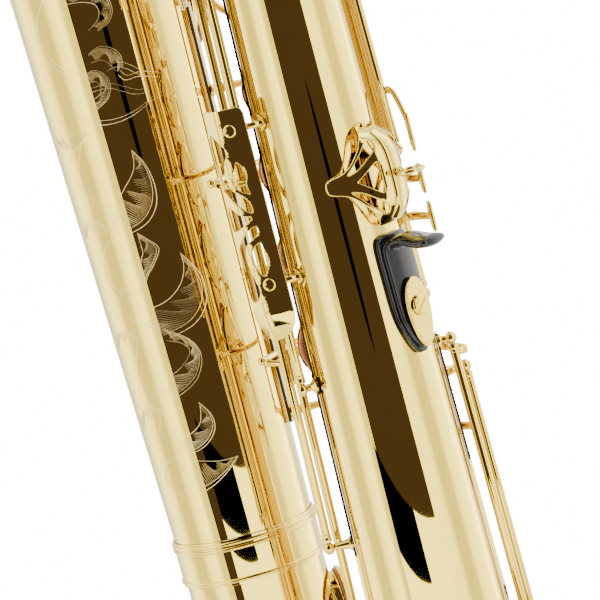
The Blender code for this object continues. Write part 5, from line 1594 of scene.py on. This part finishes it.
@dataclass
class LegGuard:
    """Creased guard plate with flowing leaf windows, on two brackets."""

    top: float = 500.0
    bottom: float = 362.0
    crease: Vector = field(default_factory=lambda: Vector((-27.5, -50.0, 0.0)))
    inner_width: float = 15.0
    outer_width: float = 17.0
    facing: float = 298.0
    inner_facing: float = 250.0
    thickness: float = 1.5
    screws: tuple[float, float] = (487.4, 396.0)
    screw_across: float = 7.0
    bracket_angle: float = 251.0

    def bend(self, across: float, up: float, depth: float) -> Vector:
        """Folds the flat plate at its crease, and curls its lower tip inwards.

        Args:
            across: distance from the middle.
            up: level along the tube.
            depth: distance through the plate.

        Returns:
            The point.
        """
        curl = max(0.0, self.bottom + 17.0 - up) / 17.0
        out = polar(self.facing, 1.0, 0.0)
        side = polar(self.facing + 90.0, 1.0, 0.0)
        fold = math.radians(self.facing - self.inner_facing)
        soft = 1.2
        turn = fold * min(1.0, max(0.0, (soft - across) / (2.0 * soft))) if across < soft else 0.0
        if across < -soft:
            turn = fold
        reach = abs(across)
        x = math.cos(turn) * across
        z = -math.sin(turn) * reach if across < 0.0 else 0.0
        x += math.sin(turn) * -depth
        z += math.cos(turn) * depth - 3.0 * curl - 1.8 * curl ** 2
        return self.crease + side * x + out * z + UP * up

    def bend_toe(self, across: float, up: float, depth: float) -> Vector:
        """Lays a bracket's toe on the body tube."""
        return polar(self.bracket_angle + math.degrees(across / 36.0), body_radius(up) + 1.1 + depth, up)

    def build(self) -> None:
        """Builds guard, brackets and cross-slotted screws."""
        left, right = -self.inner_width, self.outer_width
        shoulder = self.bottom + 17.0
        rim = [(left + 3.4, self.top), (left + 1.0, self.top - 1.2), (left, self.top - 4.0),
               (left, self.top - 12.0)]
        rim += [(left, shoulder + 2.0)]
        half = (right - left) / 2.0
        for step in range(13):
            turn = math.pi * step / 12
            rim.append(((left + right) / 2.0 - half * math.cos(turn),
                        shoulder - (shoulder - self.bottom) * math.sin(turn)))
        rim += [(right, self.top - 4.0), (right - 1.0, self.top - 1.2), (right - 3.4, self.top)]
        leaf = [(5.5, 468.8), (8.6, 465.4), (9.9, 461.4), (8.5, 456.9), (8.4, 453.0), (8.8, 449.8),
                (5.0, 451.0),
                (1.9, 454.3), (0.6, 458.4), (1.5, 462.1), (4.1, 465.8)]
        low_leaf = [(7.8, 420.4), (8.7, 416.7), (10.0, 412.0), (9.4, 407.8), (6.4, 402.4), (4.0, 401.7),
                    (1.8, 405.7),
                    (0.4, 411.8), (1.9, 417.1), (5.2, 420.0)]
        crest = [(-13.2, 484.5), (-5.1, 482.7), (0.5, 478.5), (0.9, 473.6), (-3.9, 467.3), (-5.9, 461.4),
                 (-3.0, 455.4),
                 (2.1, 450.6), (6.8, 445.5), (8.2, 441.2), (6.9, 438.8), (4.1, 440.1), (-0.8, 444.7),
                 (-10.0, 451.0),
                 (-13.2, 457.2)]
        wedge = [(-13.2, 442.4), (-5.3, 440.5), (1.6, 437.7), (6.1, 435.4), (-1.2, 431.2), (-9.8, 429.1),
                 (-13.2, 429.4)]
        trough = [(4.2, 429.6), (7.9, 429.9), (7.6, 426.1), (2.5, 423.0), (-2.5, 419.1), (-5.8, 414.2),
                  (-5.2, 407.2),
                  (-1.5, 399.8), (0.7, 393.4), (-3.6, 388.2), (-13.2, 388.0), (-13.2, 412.5),
                  (-11.4, 419.4), (-4.0, 424.8)]
        outlines = [rim, *[smooth_outline(window, 5) for window in (leaf, low_leaf, crest, wedge, trough)]]
        guard = Piece("leg_guard", Finish.BODY)
        guard.take(curved_plate(outlines, self.thickness, 2.0, self.bend, 0.3))
        guard.finish(("leg_guard",))
        out = polar(self.facing, 1.0, 0.0)
        for name, level in zip(("upper", "lower"), self.screws):
            spot = self.bend(self.screw_across, level, 0.0)
            back = spot - out * (self.thickness / 2.0 + 0.3)
            bracket = Piece(f"leg_guard_bracket_{name}", Finish.KEY)
            bracket.turned([(0.0, 0.0), (3.6, 0.0), (4.1, -0.5), (4.1, -3.6), (3.4, -4.4), (0.0, -4.4)],
                           frame_at(back, out), 32)
            foot = on_body(self.bracket_angle, 1.3, level)
            route = smooth_route([back - out * 3.0, on_body(self.bracket_angle, 6.4, level), foot], 6)
            bracket.sweep(route, [1.9] * 7 + [2.0 + 0.22 * step for step in range(len(route) - 7)], 16)
            toe = [(7.0, level - 0.6), (4.2, level + 3.4), (-1.0, level + 5.6), (-3.6, level + 4.0),
                   (-3.8, level - 4.0),
                   (-1.0, level - 5.6), (4.2, level - 3.8)]
            bracket.take(curved_plate([smooth_outline(toe, 4)], 1.5, 1.5, self.bend_toe, 0.4))
            bracket.finish((f"leg_guard_bracket_{name}",))
            screw = Piece(f"leg_guard_screw_{name}", Finish.KEY)
            face = spot + out * (self.thickness / 2.0 + 0.3)
            slotted_screw(screw, face, out, 3.8, 1.9, 2, 20.0)
            screw.finish((f"leg_guard_screw_{name}",))


@dataclass
class BellFittings:
    """Key guard rail, brace and felts."""

    angle: float = 97.0
    height: float = 27.0
    stops: tuple[float, ...] = (288.0, 386.0, 499.0, 604.0)
    felts: tuple[float, ...] = (330.0, 440.0, 557.0)
    brace_level: float = 648.0
    brace_half: float = 12.0
    ring_radius: float = 13.0
    ring_wire: float = 2.6

    def build(self) -> None:
        """Builds the rail with its felts and the brace."""
        rail = Piece("bell_key_guard", Finish.BODY)
        rail.wire([on_bell(self.angle, self.height, stop) for stop in self.stops], 2.3, 12, 18)
        for stop in self.stops:
            rail.rod(on_bell(self.angle, 1.2, stop), on_bell(self.angle, self.height, stop), 2.2, 1.7)
            rail.turned([(0.0, 2.2), (3.0, 2.0), (4.8, 1.2), (6.2, 0.6), (6.4, 0.0), (0.0, 0.0)],
                        frame_at(on_bell(self.angle, 0.6, stop), bell_out(self.angle)), 36)
            rail.ball(on_bell(self.angle, self.height, stop), (2.9, 2.9, 2.9), 24)
        rail.finish(("bell_key_guard",))
        felts = Piece("bell_key_felts", Finish.FELT)
        for level in self.felts:
            felts.rod(on_bell(self.angle, self.height - 4.6, level),
                      on_bell(self.angle, self.height - 1.6, level), 5.0)
        felts.finish()
        body_foot = on_body(198.0, 1.3, self.brace_level)
        bell_foot = on_bell(-14.0, 2.0, self.brace_level)
        middle = body_foot.lerp(bell_foot, 0.5)
        across = (bell_foot - body_foot).normalized()
        brace = Piece("bell_brace", Finish.BODY)
        brace.turned(circle_profile(self.ring_radius, self.ring_wire, 18),
                     frame_at(middle, across.cross(UP).normalized()), 64)
        brace.rod(body_foot, middle - across * self.ring_radius, 3.2, 2.4)
        brace.rod(middle + across * self.ring_radius, bell_foot, 2.4, 3.2)
        levels = (self.brace_level - self.brace_half, self.brace_level + self.brace_half)
        maker = Ribs()
        maker.plate(brace, on_body, (190.0, 206.0), levels, 0.3, 1.6)
        maker.plate(brace, on_bell, (-22.0, -6.0), levels, 0.5, 2.0, 6)
        brace.finish(("bell_brace",))


# ---------------------------------------------------------------- engraving

@dataclass
class Engraving:
    """Feathered leaves with comb hatching, cut into the bell's front."""

    width: float = 0.16
    comb: float = 1.1
    second_line: float = 0.14
    comb_start: float = 0.17
    comb_reach: float = 0.72
    comb_sway: float = 0.2
    slant: float = 0.05
    leaves: tuple[tuple[tuple[tuple[float, float], ...], tuple[tuple[float, float], ...]], ...] = (
        (((-48, 483), (-42, 474), (-39, 462), (-40, 451), (-45, 443), (-55, 437), (-76, 433)),
         ((-48, 483), (-49, 474), (-53, 468), (-60, 462), (-66, 457), (-78, 449))),
        (((-60, 434), (-54, 429), (-48, 422), (-55, 413), (-61, 408), (-68, 400), (-84, 394)),
         ((-60, 434), (-60, 429), (-60, 422), (-62, 419), (-66, 413), (-74, 407), (-92, 403))),
        (((-34, 416), (-28, 408), (-23, 398), (-23, 388), (-28, 379), (-39, 372), (-58, 368)),
         ((-34, 416), (-34, 408), (-38, 400), (-45, 394), (-54, 390), (-66, 388), (-90, 386))),
        (((-61, 374), (-51, 369), (-43, 363), (-39, 355), (-41, 347), (-48, 339), (-62, 333), (-84, 329)),
         ((-61, 367), (-52, 364), (-47, 360), (-47, 356), (-53, 351), (-61, 347), (-76, 343), (-92, 341))),
        (((-50, 326), (-44, 318), (-43, 310), (-48, 303), (-58, 298), (-76, 295)),
         ((-50, 326), (-51, 319), (-54, 313), (-61, 309), (-70, 307), (-84, 306))),
        (((-32, 288), (-39, 283), (-48, 278), (-61, 273), (-82, 269)),
         ((-32, 288), (-44, 288), (-52, 289), (-62, 291), (-78, 294))),
        (((-59, 544), (-50, 547), (-42, 544), (-38, 539), (-38, 532)),
         ((-59, 539), (-51, 539), (-47, 536), (-45, 533), (-43, 530))),
        (((-66, 533), (-57, 534), (-51, 529), (-50, 523), (-54, 516), (-64, 511)),
         ((-66, 527), (-60, 528), (-57, 525), (-57, 522), (-60, 519), (-66, 517))),
        (((-48, 556), (-39, 560), (-35, 567), (-37, 575), (-46, 581), (-60, 583)),
         ((-54, 558), (-47, 562), (-44, 567), (-46, 572), (-54, 575), (-66, 576))),
        (((-74, 500), (-82, 494), (-92, 490), (-104, 490), (-114, 496)),
         ((-74, 500), (-82, 501), (-92, 500), (-102, 500), (-112, 503))),
        (((-80, 440), (-90, 446), (-100, 448), (-112, 444), (-120, 434)),
         ((-80, 440), (-90, 438), (-100, 438), (-110, 435), (-118, 430))),
        (((-84, 372), (-94, 378), (-106, 378), (-116, 370)),
         ((-84, 372), (-94, 369), (-104, 368), (-114, 364))),
        (((-80, 324), (-92, 330), (-104, 328), (-114, 318)),
         ((-80, 324), (-92, 321), (-102, 319), (-112, 313))),
    )
    strokes: tuple[tuple[tuple[float, float], ...], ...] = (
        ((-50, 532), (-43, 533), (-36, 530), (-29, 525), (-16, 520)),
        ((-43, 528), (-39, 524), (-30, 524), (-17, 520.6)),
        ((-65, 522), (-52, 522), (-43, 518), (-34, 514), (-26, 514)),
        ((-16, 509), (-25, 508), (-39, 503), (-52, 501), (-65, 502), (-76, 506), (-88, 515)),
        ((-76, 433), (-88, 430), (-97, 420), (-98, 408), (-90, 396), (-84, 384), (-84, 372)),
        ((-78, 449), (-90, 460), (-94, 474), (-88, 488), (-74, 500)),
        ((-84, 329), (-92, 336), (-96, 348), (-92, 360), (-84, 372)),
        ((-76, 295), (-86, 302), (-90, 312), (-86, 320), (-80, 324)),
        ((-66, 533), (-80, 536), (-92, 546), (-96, 560), (-88, 574), (-74, 584), (-60, 583)),
        ((-82, 269), (-94, 274), (-100, 284), (-94, 292), (-78, 294)),
    )

    def stroke(self, piece: Piece, points: list[Vector], width: float) -> None:
        """Cuts one line that swells in its middle.

        Args:
            piece: where the line goes.
            points: its run as (angle, level, 0).
            width: half its width at the widest place.
        """
        route = [on_bell(knot.x, 0.03, knot.y) for knot in points]
        last = len(route) - 1
        piece.sweep(route, [width * (0.3 + 0.7 * math.sin(math.pi * (0.1 + 0.8 * index / last)))
                            for index in range(last + 1)], 4)

    def line(self, points: tuple[tuple[float, float], ...], steps: int = 6) -> list[Vector]:
        """Smooth run through points of (angle, level)."""
        return smooth_route([Vector((angle, level, 0.0)) for angle, level in points], steps)

    def along(self, run: list[Vector], share: float) -> Vector:
        """Point at a share of a run.

        Args:
            run: the run of points.
            share: share of its length.

        Returns:
            The point.
        """
        place = share * (len(run) - 1)
        index = min(int(place), len(run) - 2)
        return run[index].lerp(run[index + 1], place - index)

    def leaf(self, piece: Piece, outer: list[Vector], inner: list[Vector]) -> None:
        """Outlines a leaf twice along its outer edge and combs its inside.

        Args:
            piece: where the leaf goes.
            outer: its outer edge, from the tip.
            inner: its inner edge, from the tip.
        """
        self.stroke(piece, outer, self.width * 1.3)
        self.stroke(piece, inner, self.width)
        self.stroke(piece, [point.lerp(other, self.second_line) for point, other in
                            ((self.along(outer, share / 24), self.along(inner, share / 24))
                             for share in range(25))], self.width)
        edge = [on_bell(knot.x, 0.0, knot.y) for knot in outer]
        length = sum((after - before).length for before, after in zip(edge, edge[1:]))
        count = max(6, round(length / self.comb))
        for index in range(2, count):
            share = index / count
            start = self.along(outer, share).lerp(self.along(inner, share), self.comb_start)
            reach = self.comb_reach + self.comb_sway * math.sin(index * 0.55)
            after = min(1.0, share + self.slant)
            end = self.along(outer, after).lerp(self.along(inner, after), reach)
            middle = start.lerp(end, 0.5) + Vector((0.0, 0.5, 0.0))
            self.stroke(piece, smooth_route([start, middle, end], 3), self.width * 0.72)

    def build(self) -> None:
        """Builds the whole design as one piece of fine bright cuts."""
        piece = Piece("bell_engraving", Finish.CUT)
        for outer, inner in self.leaves:
            self.leaf(piece, self.line(outer), self.line(inner))
        for points in self.strokes:
            self.stroke(piece, self.line(points), self.width * 1.2)
            self.stroke(piece, [knot + Vector((2.0, 2.4, 0.0)) for knot in self.line(points)],
                        self.width * 0.8)
        piece.finish()


# ---------------------------------------------------------------- carried-over nodes

@dataclass
class Carried:
    """CAD nodes that keep their shape, smoothed as merged copies."""

    plans: tuple[tuple[str, str, Finish], ...] = (
        ("neck", "neck", Finish.BODY), ("neck_cork", "neck", Finish.CORK),
        ("neck_receiver", INSTRUMENT, Finish.BODY),
        ("neck_screw", "neck_screw", Finish.KEY), ("neck_octave_key", "neck_octave_key", Finish.KEY),
        ("water_key", "water_key", Finish.KEY), ("mouthpiece", "mouthpiece", Finish.EBONITE),
        ("ligature", "mouthpiece", Finish.KEY), ("reed", "mouthpiece", Finish.CANE),
        ("thumb_rest", INSTRUMENT, Finish.EBONITE),
    )

    def build(self, frame: dict) -> None:
        """Copies each node, merges its triangles, softens it and dresses it.

        Args:
            frame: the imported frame.
        """
        for name, body, finish in self.plans:
            mesh = frame["nodes"][name].data.copy()
            part = bmesh.new()
            part.from_mesh(mesh)
            bmesh.ops.remove_doubles(part, verts=part.verts, dist=0.00001)
            bmesh.ops.dissolve_limit(part, angle_limit=math.radians(2.0), verts=part.verts,
                                     edges=part.edges)
            part.to_mesh(mesh)
            part.free()
            mesh.materials.clear()
            mesh.materials.append(material(finish))
            mesh.shade_smooth()
            mesh.set_sharp_from_angle(angle=math.radians(42.0))
            obj = linked(f"{name}_fine", mesh)
            edge = obj.modifiers.new("Bevel", "BEVEL")
            edge.width = 0.0004
            edge.segments = 2
            edge.limit_method = "ANGLE"
            edge.angle_limit = math.radians(42.0)
            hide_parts(name)
            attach(obj, body)
            LOG.info("%s carried over", name)


# ---------------------------------------------------------------- studio

@dataclass
class Studio:
    """Camera, pale room, dark flag behind the camera, soft lights and floor."""

    azimuth: float = -44.5
    elevation: float = 8.5
    roll: float = 14.5
    distance: float = 2100.0
    lens: float = 217.0
    aim: Vector = field(default_factory=lambda: Vector((-24.3, -23.8, 380.0)))
    flag: tuple[float, float] = (-39.0, 31.5)
    flag_foot: float = -24.0
    black_line: float = 1.6
    lens_spot: tuple[float, float] = (1.0, -5.2)
    lens_size: tuple[float, float] = (3.4, 2.2)
    wall_tint: tuple[float, float, float] = (1.0, 0.985, 0.95)
    backdrop: float = 16.0
    bands: tuple[tuple[float, float], ...] = (
        (-180.0, 0.5), (-150.0, 0.32), (-124.0, 0.9), (-108.0, 0.8), (-98.0, 0.4), (-80.0, 0.38),
        (-70.0, 0.8),
        (-56.0, 1.0), (-49.0, 0.45), (-41.0, 0.42), (31.0, 0.85), (52.0, 0.8), (62.0, 0.4), (80.0, 0.42),
        (88.0, 0.8), (112.0, 1.0), (123.0, 1.5), (136.0, 0.45), (180.0, 0.5))
    card_reach: float = 375.0
    floor_level: float = -60.0
    floor_half: float = 0.6
    card_light: float = 5.1
    wall_light: float = 5.7
    flag_light: tuple[float, float, float] = (0.115, 0.078, 0.13)

    def camera(self) -> None:
        """Long lens from the player's left, tilted so that the tubes lean."""
        turn, rise = math.radians(self.azimuth), math.radians(self.elevation)
        back = Vector((math.cos(turn) * math.cos(rise), math.sin(turn) * math.cos(rise), math.sin(rise)))
        data = bpy.data.cameras.new("camera")
        data.lens = self.lens
        data.clip_end = 50.0
        data.clip_start = 0.05
        camera = linked("camera", data)
        place = (self.aim + back * self.distance - RING_CENTRE) * MM
        camera.matrix_world = frame_at(place, back) @ Matrix.Rotation(math.radians(-self.roll), 4, "Z")
        bpy.context.scene.camera = camera

    def room(self) -> None:
        """World light: white walls with softer bands, and a dark brown flag on the camera's side."""
        world = bpy.data.worlds.new("studio")
        world.use_nodes = True
        bpy.context.scene.world = world
        tree = world.node_tree
        tree.nodes.clear()
        split = tree.nodes.new("ShaderNodeSeparateXYZ")
        tree.links.new(tree.nodes.new("ShaderNodeTexCoord").outputs["Generated"], split.inputs[0])
        east, north, up = (Socket(tree, link) for link in split.outputs)
        turn = math.radians(self.azimuth)
        forward = east * math.cos(turn) + north * math.sin(turn)
        right = east * -math.sin(turn) + north * math.cos(turn)
        degree = 180.0 / math.pi
        angle = right.do("ARCTAN2", forward) * degree
        rise = up.do("ARCSINE") * degree
        ramp = tree.nodes.new("ShaderNodeValToRGB")
        brightest = max(value for _, value in self.bands)
        for _ in range(len(self.bands) - 2):
            ramp.color_ramp.elements.new(0.5)
        for element, (place, value) in zip(ramp.color_ramp.elements, self.bands):
            element.position = (place + 180.0) / 360.0
            element.color = (*[value / brightest] * 3, 1.0)
        tree.links.new(((angle + 180.0) / 360.0).link, ramp.inputs[0])
        walls = Socket(tree, ramp.outputs["Color"]) * brightest
        in_flag = angle.inside(*self.flag) * rise.do("GREATER_THAN", self.flag_foot)
        in_black = angle.inside(self.flag[0] - self.black_line, self.flag[0])
        (across, above), (wide, tall) = self.lens_spot, self.lens_size
        spindle = ((angle - across) / wide).do("POWER", 2.0) + ((rise - above) / tall).do("POWER", 2.0)
        in_black = in_black.do("MAXIMUM", spindle.do("LESS_THAN", 1.0))
        level = walls * (1.0 - in_flag.do("MAXIMUM", in_black)) * self.wall_light
        shade = in_flag * (1.0 - in_black)
        tint = tree.nodes.new("ShaderNodeCombineColor")
        for socket, share, dim in zip(tint.inputs, self.wall_tint, self.flag_light):
            tree.links.new((level * share + shade * dim).link, socket)
        studio, plain = (tree.nodes.new("ShaderNodeBackground") for _ in range(2))
        studio.inputs["Strength"].default_value = 1.0
        tree.links.new(tint.outputs[0], studio.inputs["Color"])
        plain.inputs["Color"].default_value = (1.0, 1.0, 1.0, 1.0)
        plain.inputs["Strength"].default_value = self.backdrop
        mix = tree.nodes.new("ShaderNodeMixShader")
        seen = tree.nodes.new("ShaderNodeLightPath").outputs["Is Camera Ray"]
        for socket, source in zip(mix.inputs, (seen, studio.outputs[0], plain.outputs[0])):
            tree.links.new(source, socket)
        tree.links.new(mix.outputs[0], tree.nodes.new("ShaderNodeOutputWorld").inputs[0])

    def lights(self) -> None:
        """Two large soft lamps."""
        for name, place, size, power in (("key", (-900.0, -1100.0, 900.0), 900.0, 14.0),
                                         ("fill", (1300.0, 500.0, 900.0), 900.0, 8.0)):
            data = bpy.data.lights.new(name, "AREA")
            data.size = size * MM
            data.energy = power
            lamp = linked(name, data)
            spot = Vector(place) * MM
            lamp.matrix_world = frame_at(spot, spot)
            lamp.visible_glossy = False

    def floor(self) -> None:
        """Plain pale floor below the bow."""
        shape = bmesh.new()
        bmesh.ops.create_grid(shape, x_segments=1, y_segments=1, size=self.floor_half)
        mesh = as_mesh(shape, "floor")
        mesh.transform(Matrix.Translation((0.0, 0.0, (self.floor_level - RING_CENTRE.z) * MM)))
        shader = Shader("pale_floor", Roughness=0.9)
        shader.principled.inputs["Base Color"].default_value = (0.92, 0.92, 0.92, 1.0)
        mesh.materials.append(shader.material)
        linked("floor", mesh)

    def cards(self) -> None:
        """Low reflector cards in front of the tubes, seen only in reflections."""
        turn = math.radians(self.azimuth)
        forward = Vector((math.cos(turn), math.sin(turn), 0.0))
        right = Vector((-math.sin(turn), math.cos(turn), 0.0))
        base = self.aim + forward * self.card_reach
        pale = ((20.0, 192.0), (262.0, 171.0), (262.0, -55.0), (-304.0, -55.0), (-304.0, 140.0),
                (20.0, 140.0))
        black = ((-304.0, 221.0), (20.0, 192.0), (20.0, 140.0), (-304.0, 140.0))
        for name, outline, power in (("pale_card", pale, self.card_light), ("black_card", black, 0.0)):
            shape = bmesh.new()
            corners = [shape.verts.new((Vector((base.x, base.y, level)) + right * across - RING_CENTRE)
                                       * MM)
                       for across, level in outline]
            shape.faces.new(corners)
            bmesh.ops.triangulate(shape, faces=shape.faces)
            mesh = as_mesh(shape, name)
            shader = Shader(name, Roughness=1.0)
            shader.principled.inputs["Base Color"].default_value = (0.0, 0.0, 0.0, 1.0)
            shader.principled.inputs["Specular IOR Level"].default_value = 0.0
            shader.principled.inputs["Emission Color"].default_value = (1.0, 0.985, 0.95, 1.0)
            shader.principled.inputs["Emission Strength"].default_value = power
            mesh.materials.append(shader.material)
            obj = linked(name, mesh)
            obj.visible_camera = False
            obj.visible_diffuse = False
            obj.visible_shadow = False

    def build(self) -> None:
        """Sets up the whole studio."""
        self.camera()
        self.room()
        self.lights()
        self.floor()
        self.cards()


def main() -> None:
    """Loads the frame and builds the saxophone around it."""
    logging.basicConfig(level=logging.INFO, format="%(message)s")
    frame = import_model()
    Studio().build()
    stacks, rights, lefts = stack_keys(), right_keys(), left_keys()
    uppers, bells = upper_keys(), bell_keys()
    tubes = Tubes()
    on_tube = [key.cup for key in (*stacks, *uppers, *rights[:4], lefts[3])]
    tubes.build_body(on_tube)
    tubes.build_bow([rights[4].cup, lefts[2].cup])
    tubes.build_bell([key.cup for key in bells])
    tubes.build_rings()
    tubes.build_upper()
    maker = KeyMaker()
    for key in (*stacks, *rights, *lefts, *uppers, *bells):
        maker.make(key)
    Ribs().build()
    Saddle().build()
    ThumbHook().build()
    LegGuard().build()
    BellFittings().build()
    Engraving().build()
    Carried().build(frame)


if __name__ == "__main__":
    main()
